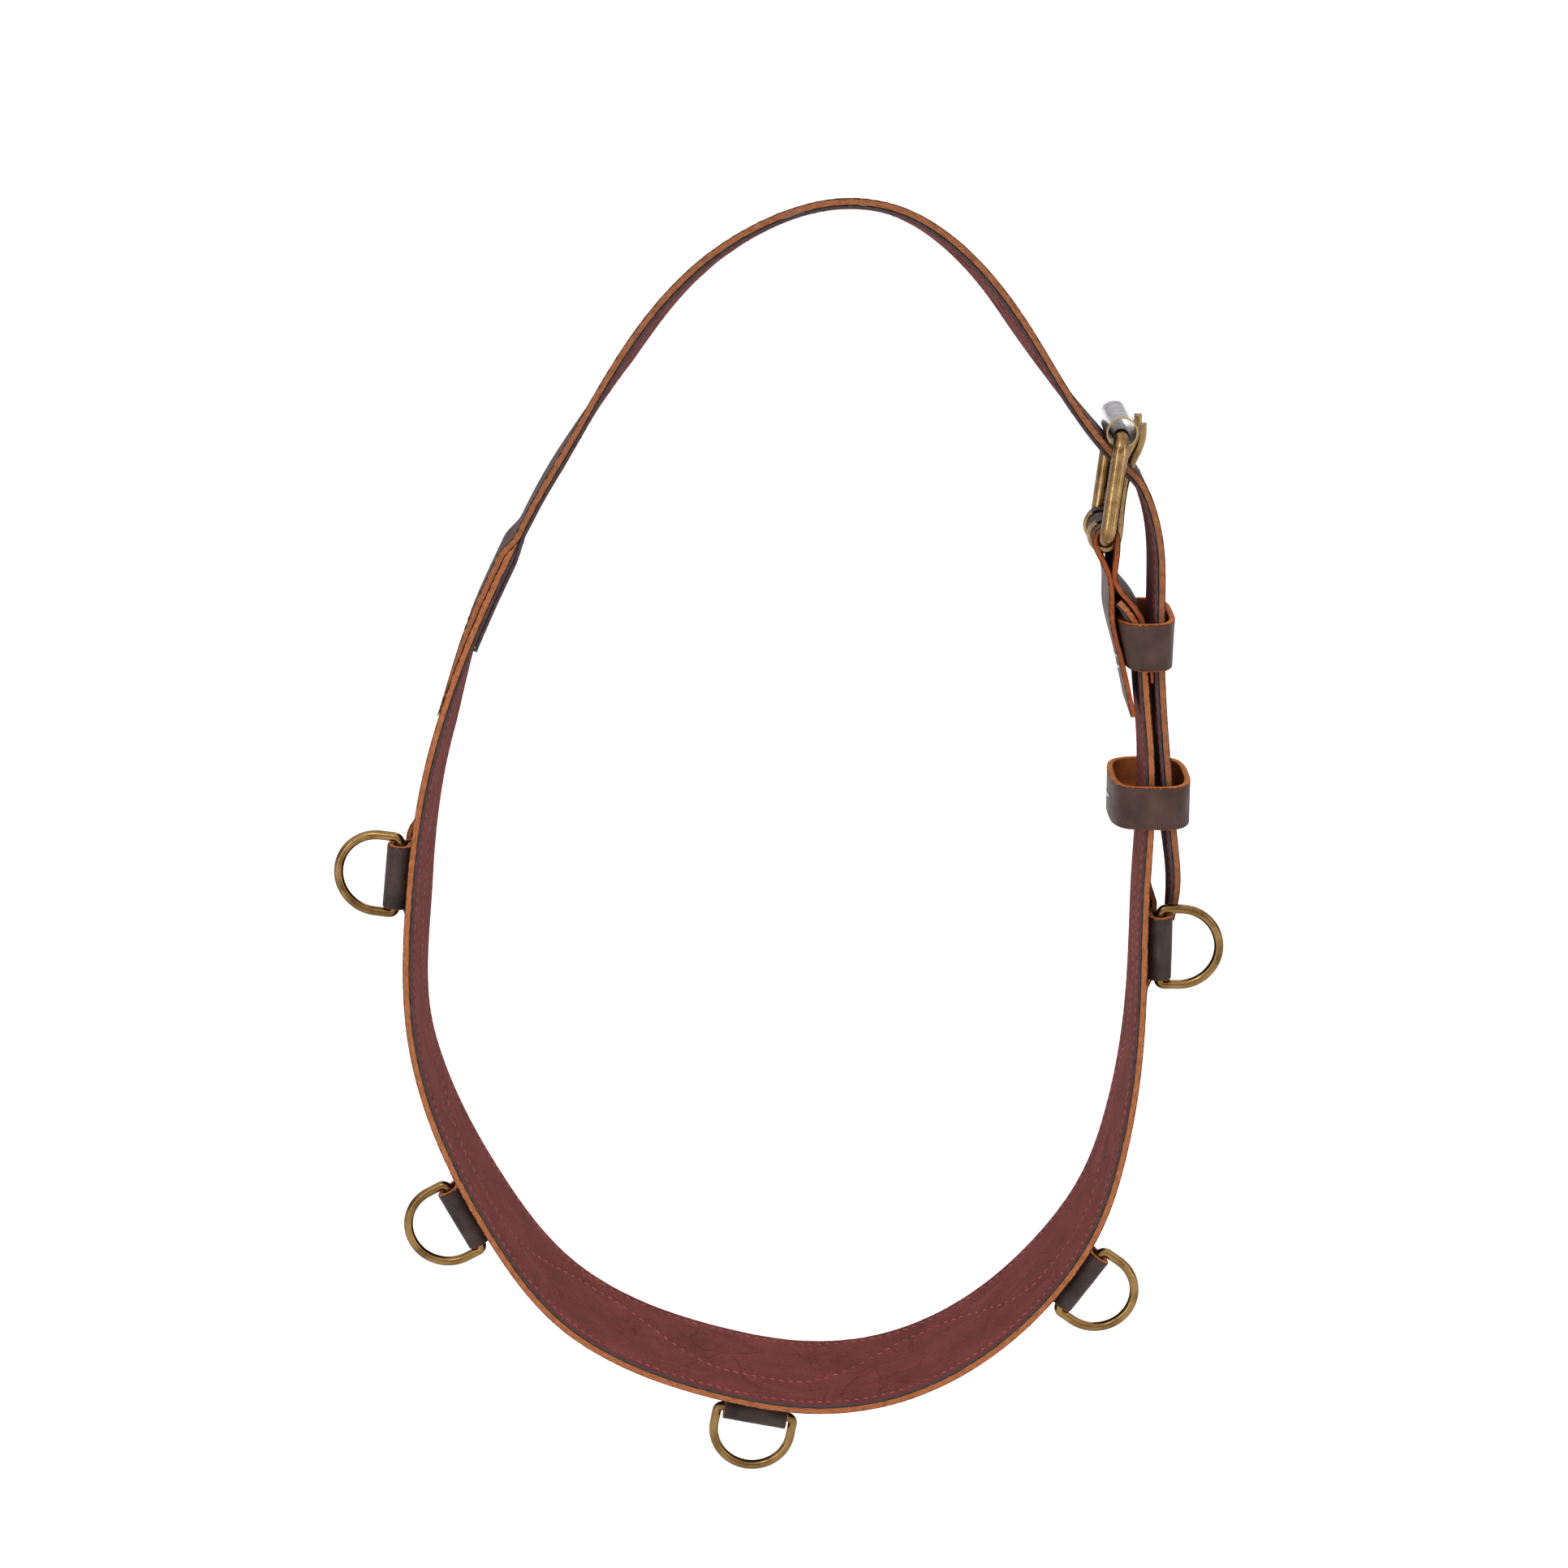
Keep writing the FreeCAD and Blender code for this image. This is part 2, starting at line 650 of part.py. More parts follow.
# ---------------------------------------------------------------- staples
STAPLE_PROUD = 0.65      # middle of a staple's wire, off the face it lies on


def staple_crown(x, z):
    """Crown of a wire staple across the strap, lying on a face at x that looks towards -X."""
    crown = dim("staple_crown")
    start = V(x - STAPLE_PROUD, -crown / 2, z)
    return Part.makeCylinder(dim("staple_wire") / 2, crown, start, V(0, 1, 0))


KEEPER_MIDDLE = (SLIDING_TOP[2] + SLIDING_BOTTOM[2]) / 2
nodes.append(feature("chape_staples", Part.makeCompound([
    staple_crown(101.35, -168.2), staple_crown(102.45, -172.6)])))
nodes.append(feature("keeper_staple", staple_crown(SLIDING_TOP[0], KEEPER_MIDDLE)))

# ---------------------------------------------------------------- check and write
doc.recompute()
for obj in doc.Objects:
    if "Invalid" in obj.State or "Error" in obj.State:
        raise RuntimeError(f"{obj.Label} failed: {obj.State}")
for node in nodes:
    shape = node.Shape
    if shape.isNull() or not shape.isValid():
        raise RuntimeError(f"{node.Label} has no valid shape")
    if shape.Volume <= 0:
        raise RuntimeError(f"{node.Label} has no volume")
    shape.exportStep(f"parts/{node.Label}.step")
    print(f"{node.Label:20s} {len(shape.Solids)} solids {shape.Volume:10.1f} mm3")
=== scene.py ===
"""Looks of the leather martingale neck strap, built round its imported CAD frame.

Shapes are worked out in millimetres, in the row frame, and strip_mesh() turns them into metres.
"""
import math

import bmesh
import bpy
import numpy as np
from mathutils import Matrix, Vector, noise


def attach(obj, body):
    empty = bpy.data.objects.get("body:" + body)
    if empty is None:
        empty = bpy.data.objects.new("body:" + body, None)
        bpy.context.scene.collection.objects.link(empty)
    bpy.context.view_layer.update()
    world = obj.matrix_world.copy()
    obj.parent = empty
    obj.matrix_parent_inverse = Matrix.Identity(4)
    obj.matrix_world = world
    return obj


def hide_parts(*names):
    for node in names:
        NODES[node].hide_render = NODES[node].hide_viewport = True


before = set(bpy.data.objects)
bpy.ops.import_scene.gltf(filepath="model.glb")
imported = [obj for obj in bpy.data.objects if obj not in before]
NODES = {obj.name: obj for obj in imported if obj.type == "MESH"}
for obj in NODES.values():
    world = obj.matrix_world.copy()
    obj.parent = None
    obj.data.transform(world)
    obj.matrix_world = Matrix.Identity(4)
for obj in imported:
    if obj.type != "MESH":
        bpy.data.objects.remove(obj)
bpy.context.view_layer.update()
MM = 0.001

# ---------------------------------------------------------------- driving sizes, as in the CAD
STRAP_WIDTH = 38.0
BELT_WIDEST = 63.5
PLY_OUTER = 2.4
PLY_LINING = 1.4
PLY = PLY_OUTER + PLY_LINING
OVERLAY_THICK = 2.0
SKIVED_EDGE = 0.5
TAB_WIDTH = 24.8
TAB_THICK = 2.4
TAB_SKIVED = 1.0
TAB_HEIGHT = 9.8
BAR_INSET = 8.5
HEEL = np.array([95.7, 0.0, -121.3])
HEEL_RADIUS = 3.0
PRONG_THICK = 2.8
PRONG_WIDTH = 4.0
PRONG_PITCH = 20.0
CURL_INNER = 3.7
HOLE_WIDTH = 4.8
HOLE_LENGTH = 9.0
HOLE_PITCH = 25.0
HOLES_EACH_WAY = 4
HOLES_FROM_TIP = 181.0
CHAPE_THICK = 2.0
KEEPER_WALL = 2.3
KEEPER_HALF_DEPTH = 24.0
RING_AT = {1: 687.2, 2: 551.6, 3: 412.1, 4: 272.7, 5: 139.0}
OVERLAY_START, OVERLAY_END = 110.0, 720.0
TAIL = 36.0
TIP_HALF = 1.6
CLEAR = 0.1

BELT_POINTS = [
    (101.9, -143.7), (108.1, -151.9), (111.4, -164), (113.3, -182), (115.3, -202),
    (116.0, -232), (114.9, -260), (114.6, -288), (112.8, -327), (108.0, -358),
    (98.5, -389), (80.5, -417), (53, -443), (18, -460), (-14.5, -463.5),
    (-47, -458), (-81.5, -446), (-110, -427.5), (-137, -391.5), (-160.5, -339),
    (-166, -313), (-167.2, -284), (-165.8, -261), (-159.3, -215.7), (-147.1, -175.2),
    (-134.9, -146), (-126.8, -129),
]
BILLET_POINTS = [
    (-116.2, -108), (-105.6, -90), (-77.8, -44.5), (-54, -18.5), (-28.9, -3),
    (-4.5, 3.8), (18, 1.5), (41, -12), (65.9, -41.2), (87, -74.5),
    (96, -86), (102.3, -92.6), (108.2, -98.3), (113.2, -108), (116.8, -122),
    (118, -140), (118.2, -160), (119.6, -185), (122.4, -214), (125.2, -238),
    (127.3, -258), (126.2, -273),
]


# ---------------------------------------------------------------- the strap's route
class Route:
    """Natural cubic spline through points, read by its length in the first two columns."""

    STEPS = 24

    def __init__(self, points):
        self.points = np.array(points, float)
        steps = np.diff(self.points[:, :2], axis=0)
        self.spans = np.linalg.norm(steps, axis=1)
        self.knots = np.concatenate([[0], np.cumsum(self.spans)])
        self.second = self.curvatures()
        share = np.arange(self.STEPS) / self.STEPS
        fine = (self.knots[:-1, None] + self.spans[:, None] * share).ravel()
        self.fine = np.append(fine, self.knots[-1])
        moves = np.diff(self.evaluate(self.fine)[:, :2], axis=0)
        self.lengths = np.concatenate([[0], np.cumsum(np.linalg.norm(moves, axis=1))])
        self.length = self.lengths[-1]

    def curvatures(self):
        count, h = len(self.points), self.spans
        matrix = np.eye(count)
        right = np.zeros_like(self.points)
        slopes = np.diff(self.points, axis=0) / h[:, None]
        for i in range(1, count - 1):
            matrix[i, i - 1:i + 2] = h[i - 1], 2 * (h[i - 1] + h[i]), h[i]
            right[i] = 6 * (slopes[i] - slopes[i - 1])
        return np.linalg.solve(matrix, right)

    def evaluate(self, knot):
        last_span = len(self.spans) - 1
        span = np.clip(np.searchsorted(self.knots, knot, side="right") - 1, 0, last_span)
        width = self.spans[span][:, None]
        b = (knot - self.knots[span])[:, None] / width
        a = 1 - b
        bend = (a ** 3 - a) * self.second[span] + (b ** 3 - b) * self.second[span + 1]
        return a * self.points[span] + b * self.points[span + 1] + bend * width ** 2 / 6

    def at(self, length):
        return self.evaluate(np.interp(length, self.lengths, self.fine))

    def direction(self, length, reach=0.5):
        ahead = self.at(np.minimum(length + reach, self.length))
        behind = self.at(np.maximum(length - reach, 0))
        step = (ahead - behind)[:, :2]
        return step / np.linalg.norm(step, axis=1)[:, None]


LOOP = Route(BELT_POINTS + BILLET_POINTS)
BELT_END = LOOP.lengths[LOOP.STEPS * (len(BELT_POINTS) - 1)]
TIP = LOOP.length
HALF = STRAP_WIDTH / 2
TAPER_START, TAPER_END = BELT_END - 64, BELT_END - 20
LINING_START = BELT_END - 36
NECK_START, NECK_END = BELT_END + 0.5, BELT_END + 11
BELT_STOP = NECK_END - 0.6
HOLE_AT = TIP - HOLES_FROM_TIP


def smooth(value, start, end):
    """0 before start, 1 after end, an S-curve between."""
    u = np.clip((value - start) / (end - start), 0, 1)
    return u * u * (3 - 2 * u)


def belt_width(s):
    swell = smooth(s, 80, 300) * (1 - smooth(s, 480, 745))
    return STRAP_WIDTH + (BELT_WIDEST - STRAP_WIDTH) * swell


def twist(s):
    below_splice = 4.6 * smooth(s, 610, 678) * (1 - smooth(s, 740, 785))
    over_crown = 6.5 * smooth(s, 850, 915) * (1 - smooth(s, 1090, 1150))
    return below_splice + over_crown


def unit(vectors):
    return vectors / np.linalg.norm(vectors, axis=-1, keepdims=True)


def on_plane(points, y=0.0):
    """Points given as (x, z) on the plane at height y across the strap."""
    return np.stack([points[:, 0], np.full(len(points), y), points[:, 1]], axis=1)


class Frames:
    """Frames along a strip: place, along, outward and across, one row for each station."""

    def __init__(self, place, along, outward):
        self.place, self.along, self.outward = place, unit(along), unit(outward)
        self.across = np.cross(self.outward, self.along)

    def points(self, across, off):
        """Points at across and off, which have one row for each station."""
        return (self.place[:, None] + self.across[:, None] * across[..., None]
                + self.outward[:, None] * off[..., None])


def strap_frames(s):
    """Frames of the strap at lengths s, placed on its near edge."""
    s = np.asarray(s, float)
    tangent = LOOP.direction(s)
    turn = np.radians(twist(s))[:, None]
    flat_normal = on_plane(np.stack([-tangent[:, 1], tangent[:, 0]], axis=1))
    flat_across = np.array([[0.0, 1.0, 0.0]])
    outward = flat_normal * np.cos(turn) + flat_across * np.sin(turn)
    place = on_plane(LOOP.at(s))
    place[:, 1] = -belt_width(s) / 2
    return Frames(place, on_plane(tangent), outward)


# ---------------------------------------------------------------- mesh building
UV_MAP = "Strip"
FACE, EDGE, BACK = 0, 1, 2
CORNER_STEPS = 3
EDGE_STEPS = 3


def columns(count, dense_ends=0.0):
    """Shares from 0 to 1 of a face's width, closer together near both ends if asked."""
    t = np.linspace(0, 1, count)
    return t - dense_ends * np.sin(2 * np.pi * t) / (2 * np.pi)


def outline(low, high, bottom, top, face, back, corner):
    """Rounded outline of a strip at each station, and its patches.

    low and high are across, bottom and top are off.  A patch is (first column, last column,
    material, texture coordinate across it).
    """
    low, high, bottom, top = np.broadcast_arrays(low, high, bottom, top)
    radius = np.minimum(corner, 0.45 * (top - bottom))[:, None]
    low, high, bottom, top = (value[:, None] for value in (low, high, bottom, top))
    quarter = np.linspace(0, np.pi / 2, CORNER_STEPS + 1)[None]
    wall = np.linspace(0, 1, EDGE_STEPS + 1)[None, 1:-1]
    inner_low, inner_high = low + radius, high - radius
    inner_bottom, inner_top = bottom + radius, top - radius
    side = inner_top + (inner_bottom - inner_top) * wall
    across = [
        inner_low + (inner_high - inner_low) * face[None],
        inner_high + radius * np.sin(quarter[:, 1:]), high + 0 * side,
        inner_high + radius * np.cos(quarter),
        inner_high + (inner_low - inner_high) * back[None, 1:],
        inner_low - radius * np.sin(quarter[:, 1:]), low + 0 * side,
        inner_low - radius * np.cos(quarter[:, :-1]),
    ]
    off = [
        top + 0 * across[0],
        inner_top + radius * np.cos(quarter[:, 1:]), side,
        inner_bottom - radius * np.sin(quarter),
        bottom + 0 * across[4],
        inner_bottom - radius * np.cos(quarter[:, 1:]), side[:, ::-1],
        inner_top + radius * np.sin(quarter[:, :-1]),
    ]
    ends = np.cumsum([block.shape[1] for block in across])
    across, off = np.hstack(across), np.hstack(off)
    depth = top - off
    patches = [(0, ends[0] - 1, FACE, across), (ends[0] - 1, ends[3] - 1, EDGE, depth),
               (ends[3] - 1, ends[4] - 1, BACK, across), (ends[4] - 1, ends[7], EDGE, depth)]
    return across, off, patches


def strip_mesh(name, points, patches, along, closed=False):
    """Mesh over rows of outline points; along is the length at each row.

    A closed one joins its last row to its first, the others are capped at both ends.
    """
    rows, width = points.shape[:2]
    row = np.arange(rows if closed else rows - 1)
    after = (row + 1) % rows
    faces, uvs, materials = [], [], []
    step = along[1] - along[0]
    along_after = np.where(after == 0, along[-1] + step, along[after])
    for first, last, material, texture in patches:
        for column in range(first, last):
            a, b = column % width, (column + 1) % width
            faces.append(np.stack([row * width + a, row * width + b,
                                   after * width + b, after * width + a], axis=1))
            corners = [(along[row], texture[row, a]), (along[row], texture[row, b]),
                       (along_after, texture[after, b]), (along_after, texture[after, a])]
            uvs.append(np.stack([np.stack(corner, 1) for corner in corners], axis=1))
            materials.append(np.full(len(row), material))
    quads = np.concatenate(faces)
    uvs = np.concatenate(uvs) * MM
    materials = np.concatenate(materials)
    mesh = bpy.data.meshes.new(name)
    flat = (points.reshape(-1, 3) * MM).tolist()
    polygons = quads.tolist()
    if not closed:
        start, end = list(range(width)), list(range((rows - 1) * width, rows * width))
        polygons += [start[::-1], end]
        materials = np.append(materials, [EDGE, EDGE])
    mesh.from_pydata(flat, [], polygons)
    add_uv(mesh, uvs.reshape(-1, 2))
    mesh.polygons.foreach_set("material_index", materials.astype(np.int32))
    mesh.polygons.foreach_set("use_smooth", np.ones(len(mesh.polygons), bool))
    return face_outward(mesh)


def add_uv(mesh, side_values):
    """Texture coordinates of the mesh's sides, which come first; its caps get zeros."""
    values = np.zeros((len(mesh.loops), 2), np.float32)
    values[:len(side_values)] = side_values
    mesh.uv_layers.new(name=UV_MAP).data.foreach_set("uv", values.ravel())


def face_outward(mesh):
    """The same closed mesh, turned right side out if it was inside out."""
    shell = bmesh.new()
    shell.from_mesh(mesh)
    inside_out = shell.calc_volume(signed=True) < 0
    shell.free()
    if inside_out:
        mesh.flip_normals()
    mesh.update()
    return mesh


def rough(points, size, seed):
    """Smooth random value from -1 to 1 at each point, with bumps about size across."""
    places = (points.reshape(-1, 3) / size + seed * 17.3).tolist()
    return np.array([noise.noise(place) for place in places]).reshape(points.shape[:-1])


def placed(name, data):
    """New object in the scene."""
    obj = bpy.data.objects.new(name, data)
    bpy.context.scene.collection.objects.link(obj)
    return obj


def piece(name, mesh, materials, body, stands_for=()):
    """New object of the visual model, on its CAD body."""
    obj = placed(name, mesh)
    if not mesh.materials:
        for material in materials:
            mesh.materials.append(material)
    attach(obj, body)
    if stands_for:
        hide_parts(*stands_for)
    return obj


def carve(obj, cutter_mesh, material_index=EDGE):
    """Cuts cutter_mesh out of obj; the new walls get the material at material_index."""
    cutter = placed("cutter", cutter_mesh)
    for slot in obj.material_slots:
        cutter_mesh.materials.append(slot.material)
    indices = np.full(len(cutter_mesh.polygons), material_index, np.int32)
    cutter_mesh.polygons.foreach_set("material_index", indices)
    modifier = obj.modifiers.new("carve", "BOOLEAN")
    modifier.operation = "DIFFERENCE"
    modifier.solver = "EXACT"
    modifier.object = cutter
    shown = obj.evaluated_get(bpy.context.evaluated_depsgraph_get())
    carved = bpy.data.meshes.new_from_object(shown)
    obj.modifiers.clear()
    obj.data = carved
    bpy.data.objects.remove(cutter)


def prism_mesh(name, bottom_ring, top_ring):
    """Closed prism between two rings of the same count; v of its sides runs down from the top."""
    count = len(bottom_ring)
    depth = np.linalg.norm(top_ring - bottom_ring, axis=1)
    ring = np.arange(count)
    after = (ring + 1) % count
    sides = np.stack([ring, after, after + count, ring + count], axis=1)
    mesh = bpy.data.meshes.new(name)
    polygons = sides.tolist() + [ring[::-1].tolist(), (ring + count).tolist()]
    mesh.from_pydata((np.concatenate([bottom_ring, top_ring]) * MM).tolist(), [], polygons)
    round_values = np.stack([ring, after, after, ring], axis=1)
    down_values = np.stack([depth, depth, 0 * depth, 0 * depth], axis=1)
    add_uv(mesh, np.stack([round_values, down_values], axis=2).reshape(-1, 2) * MM)
    return face_outward(mesh)


def joined(name, meshes):
    """One mesh out of several."""
    parts = [placed(name, mesh) for mesh in meshes]
    with bpy.context.temp_override(active_object=parts[0], object=parts[0],
                                   selected_objects=parts, selected_editable_objects=parts):
        bpy.ops.object.join()
    mesh = parts[0].data
    bpy.data.objects.remove(parts[0])
    return mesh


# ---------------------------------------------------------------- materials
def rgb(code):
    """Linear colour of a #rrggbb code."""
    shares = [int(code[i:i + 2], 16) / 255 for i in (1, 3, 5)]
    linear = [c / 12.92 if c <= 0.04045 else ((c + 0.055) / 1.055) ** 2.4 for c in shares]
    return (*linear, 1.0)


def set_stops(ramp, stops):
    """Gives a colour ramp its stops, each a place and a linear colour."""
    while len(ramp.elements) < len(stops):
        ramp.elements.new(1.0)
    for element, (place, colour) in zip(ramp.elements, stops):
        element.position = place
        element.color = colour


class Look:
    """One procedural material, built with short calls."""

    def __init__(self, name, **shader):
        self.material = bpy.data.materials.new(name)
        self.material.use_nodes = True
        self.tree = self.material.node_tree
        self.shader = self.tree.nodes["Principled BSDF"]
        for socket, value in shader.items():
            self.shader.inputs[socket.replace("_", " ")].default_value = value
        self.object_coords = self.add("TexCoord").outputs["Object"]

    def add(self, kind, **inputs):
        node = self.tree.nodes.new("ShaderNode" + kind)
        for key, value in inputs.items():
            self.feed(node.inputs[key.replace("_", " ")], value)
        return node

    def feed(self, socket, value):
        if isinstance(value, bpy.types.NodeSocket):
            self.tree.links.new(value, socket)
        else:
            socket.default_value = value

    def uv(self):
        node = self.tree.nodes.new("ShaderNodeUVMap")
        node.uv_map = UV_MAP
        return node.outputs["UV"]

    def strip(self, along, across):
        """The strip's own coordinates, in features per millimetre each way."""
        scaled = self.add("Mapping", Vector=self.uv(), Scale=(along / MM, across / MM, 1))
        return scaled.outputs["Vector"]

    def noise(self, size=None, detail=2.0, rough=0.5, vector=None, warp=0.0):
        """Noise with features about size millimetres, or one unit of vector."""
        scale = 1.0 if size is None else 1 / (size * MM)
        vector = self.object_coords if vector is None else vector
        node = self.add("TexNoise", Vector=vector, Scale=scale, Detail=detail, Roughness=rough,
                        Distortion=warp)
        return node.outputs["Fac"]

    def cells(self, size, feature="F1"):
        node = self.add("TexVoronoi", Vector=self.object_coords, Scale=1 / (size * MM))
        node.feature = feature
        return node.outputs["Distance"]

    def scaled(self, value, low, high, new_low=0.0, new_high=1.0):
        node = self.add("MapRange", Value=value, From_Min=low, From_Max=high, To_Min=new_low,
                        To_Max=new_high)
        return node.outputs["Result"]

    def maths(self, operation, a, b):
        node = self.tree.nodes.new("ShaderNodeMath")
        node.operation = operation
        self.feed(node.inputs[0], a)
        self.feed(node.inputs[1], b)
        return node.outputs[0]

    def mix(self, share, a, b):
        node = self.tree.nodes.new("ShaderNodeMix")
        node.data_type = "RGBA"
        colours = [socket for socket in node.inputs if socket.type == "RGBA"]
        self.feed(node.inputs[0], share)
        self.feed(colours[0], a)
        self.feed(colours[1], b)
        return next(socket for socket in node.outputs if socket.type == "RGBA")

    def tint(self, colour, shade, value, low, high, most=1.0):
        """colour, turned into shade by up to most as value goes from low to high."""
        return self.mix(self.scaled(value, low, high, 0, most), colour, rgb(shade))

    def ramp(self, value, *stops):
        node = self.add("ValToRGB", Fac=value)
        set_stops(node.color_ramp, [(place, rgb(code)) for place, code in stops])
        return node.outputs["Color"]

    def bump(self, height, depth, normal=None):
        """Relief of height, depth millimetres deep."""
        node = self.add("Bump", Height=height, Distance=depth * MM)
        if normal is not None:
            self.feed(node.inputs["Normal"], normal)
        return node.outputs["Normal"]

    def finish(self, colour, roughness, normal):
        self.feed(self.shader.inputs["Base Color"], colour)
        self.feed(self.shader.inputs["Roughness"], roughness)
        self.feed(self.shader.inputs["Normal"], normal)
        return self.material


def grain_leather(name, base, light, dark, pebble=0.9, gloss=0.0):
    """Dyed grain side: fine pebbles, pull-up patches and small scuffs."""
    look = Look(name, Specular_IOR_Level=0.14)
    cloud = look.noise(22, detail=4)
    patch = look.noise(11, detail=5, rough=0.6)
    fine = look.noise(0.35, detail=3)
    scratch = look.noise(vector=look.strip(0.35, 4.0), detail=3)
    colour = look.ramp(patch, (0.28, dark), (0.5, base), (0.78, light))
    colour = look.tint(colour, light, cloud, 0.45, 0.75, 0.35)
    colour = look.tint(colour, light, scratch, 0.66, 0.74, 0.35)
    colour = look.tint(colour, dark, fine, 0.3, 0.7, 0.25)
    roughness = look.scaled(patch, 0.3, 0.7, 0.82 - gloss, 0.68 - gloss)
    normal = look.bump(look.cells(pebble), 0.10)
    normal = look.bump(look.cells(pebble * 0.4), 0.04, normal)
    normal = look.bump(patch, 0.12, normal)
    return look.finish(colour, roughness, normal)


def cut_edge(name, light, dark, rim, rim_depth=0.45, back_rim=None):
    """Cut edge of a ply: fibres along the strap, darker where the dyed faces meet it."""
    look = Look(name, Specular_IOR_Level=0.12)
    fibres = look.noise(vector=look.strip(0.3, 3.6), detail=5, rough=0.7)
    blotch = look.noise(2.6, detail=4, rough=0.6)
    speck = look.noise(0.33, detail=3, rough=0.6)
    colour = look.ramp(fibres, (0.36, dark), (0.56, light))
    colour = look.tint(colour, dark, blotch, 0.48, 0.7, 0.55)
    colour = look.tint(colour, dark, speck, 0.54, 0.7, 0.75)
    waver = look.scaled(look.noise(1.6, detail=2), 0.3, 0.7, -0.22 * MM, 0.22 * MM)
    depth = look.add("SeparateXYZ", Vector=look.uv()).outputs["Y"]
    depth = look.maths("ADD", depth, waver)
    colour = look.tint(colour, rim, depth, rim_depth * MM, 0.4 * rim_depth * MM)
    if back_rim:
        start, end, shade = back_rim
        colour = look.tint(colour, shade, depth, start * MM, end * MM)
    normal = look.bump(fibres, 0.25)
    normal = look.bump(speck, 0.15, normal)
    return look.finish(colour, look.scaled(fibres, 0.3, 0.7, 0.85, 0.6), normal)


def suede(name, base, light, dark):
    """Napped lining: soft mottling, brushed streaks, fine light specks, and crease lines darkened
    with painted shade.
    """
    look = Look(name, Specular_IOR_Level=0.1, Sheen_Weight=0.1, Sheen_Roughness=0.4,
                Sheen_Tint=rgb("#a05a50"))
    cloud = look.noise(16, detail=5, rough=0.6, warp=0.4)
    patch = look.noise(3.5, detail=4, rough=0.65)
    streak = look.noise(vector=look.strip(0.03, 0.09), detail=4, rough=0.6, warp=0.6)
    nap = look.noise(0.5, detail=4, rough=0.75)
    fleck = look.noise(0.9, detail=2)
    colour = look.ramp(cloud, (0.3, dark), (0.52, base), (0.75, light))
    colour = look.tint(colour, light, patch, 0.45, 0.68, 0.4)
    colour = look.tint(colour, dark, streak, 0.5, 0.62, 0.45)
    colour = look.tint(colour, light, nap, 0.42, 0.72, 0.75)
    colour = look.tint(colour, dark, nap, 0.5, 0.3, 0.85)
    colour = look.tint(colour, "#8a4a3a", fleck, 0.68, 0.76, 0.4)
    shaded_crease = look.scaled(look.noise(30, detail=1, warp=0.8), 0.0, 1.0, -0.5, 0.5)
    shaded_crease = look.scaled(look.maths("ABSOLUTE", shaded_crease, 0.0), 0.012, 0.0)
    # Painted shade: the suede is darkened along the crease lines, on top of their bumped relief.
    colour = look.tint(colour, dark, shaded_crease, 0.0, 1.0, 0.2)
    normal = look.bump(nap, 0.35)
    normal = look.bump(patch, 0.4, normal)
    normal = look.bump(look.scaled(shaded_crease, 0.0, 1.0, 1.0, 0.0), 0.35, normal)
    return look.finish(colour, look.scaled(nap, 0.3, 0.7, 1.0, 0.86), normal)


def brass(name, bright, mid, patina_and_shade, wear, grain_size, pit_depth):
    """Antiqued brass: bright where it is rubbed, brown patina in the pits, and painted shade that
    browns it at grazing angles.
    """
    look = Look(name, Metallic=1.0)
    tone = look.noise(9, detail=4, rough=0.55)
    pits = look.noise(grain_size, detail=5, rough=0.7)
    colour = look.ramp(tone, (0.35, mid), (0.6, bright))
    colour = look.tint(colour, patina_and_shade, pits, 0.5 + wear, 0.72 + wear, 0.8)
    # Painted shade: the brass is browned towards grazing angles, where its rims look dark.
    edge = look.add("LayerWeight", Blend=0.35).outputs["Facing"]
    colour = look.tint(colour, patina_and_shade, edge, 0.25, 0.7, 0.9)
    roughness = look.scaled(pits, 0.35, 0.75, 0.17, 0.36)
    return look.finish(colour, roughness, look.bump(pits, pit_depth))


def thread_look(name, light, dark):
    look = Look(name, Specular_IOR_Level=0.35, Sheen_Weight=0.2)
    ply = look.noise(vector=look.strip(2.2, 2.2), detail=2)
    tone = look.noise(9, detail=3)
    colour = look.ramp(tone, (0.3, dark), (0.7, light))
    colour = look.tint(colour, dark, ply, 0.5, 0.7, 0.5)
    return look.finish(colour, look.scaled(ply, 0.3, 0.7, 0.75, 0.55), look.bump(ply, 0.12))


GRAIN = grain_leather("grain_leather", "#3c2b29", "#4d3833", "#2c1f1e", gloss=0.12)
TAB_FACE = grain_leather("tab_leather", "#332724", "#483934", "#1e1715", pebble=0.7, gloss=0.24)
KEEPER_FACE = grain_leather("keeper_leather", "#402e29", "#533c33", "#2f211d", pebble=0.8,
                            gloss=0.22)
FLESH = grain_leather("flesh_side", "#5f3821", "#85502d", "#3f2415", pebble=1.4)
KEEPER_FLESH = grain_leather("keeper_flesh", "#8a4d22", "#b0672f", "#5e3316", pebble=1.2)
TAN_EDGE = cut_edge("tan_edge", "#ad673e", "#6e3f22", "#21160f")
BILLET_EDGE = cut_edge("billet_edge", "#9d5f3d", "#5d3822", "#1e1410")
KEEPER_EDGE = cut_edge("keeper_edge", "#bd6a30", "#8a4a1c", "#4a2a18", rim_depth=0.25)
TAB_EDGE = cut_edge("tab_edge", "#b87145", "#804a28", "#3a2418", rim_depth=0.25)
CHAPE_EDGE = cut_edge("chape_edge", "#9d4f27", "#612f15", "#2f1a10")
LINING_EDGE = cut_edge("lining_edge", "#474144", "#2c2829", "#1d1a1a",
                       back_rim=(0.9, 1.3, "#592b29"))
SUEDE = suede("suede_lining", "#602d29", "#713a35", "#48211e")
RING_BRASS = brass("ring_brass", "#8a6c42", "#614828", "#221306", 0.08, 2.4, 0.012)
BUCKLE_BRASS = brass("antique_brass", "#957850", "#6d5230", "#2a180b", 0.04, 1.6, 0.03)
THREAD = thread_look("waxed_thread", "#a8403f", "#641f20")
FACE_THREAD = thread_look("dark_thread", "#3a2522", "#1f1412")

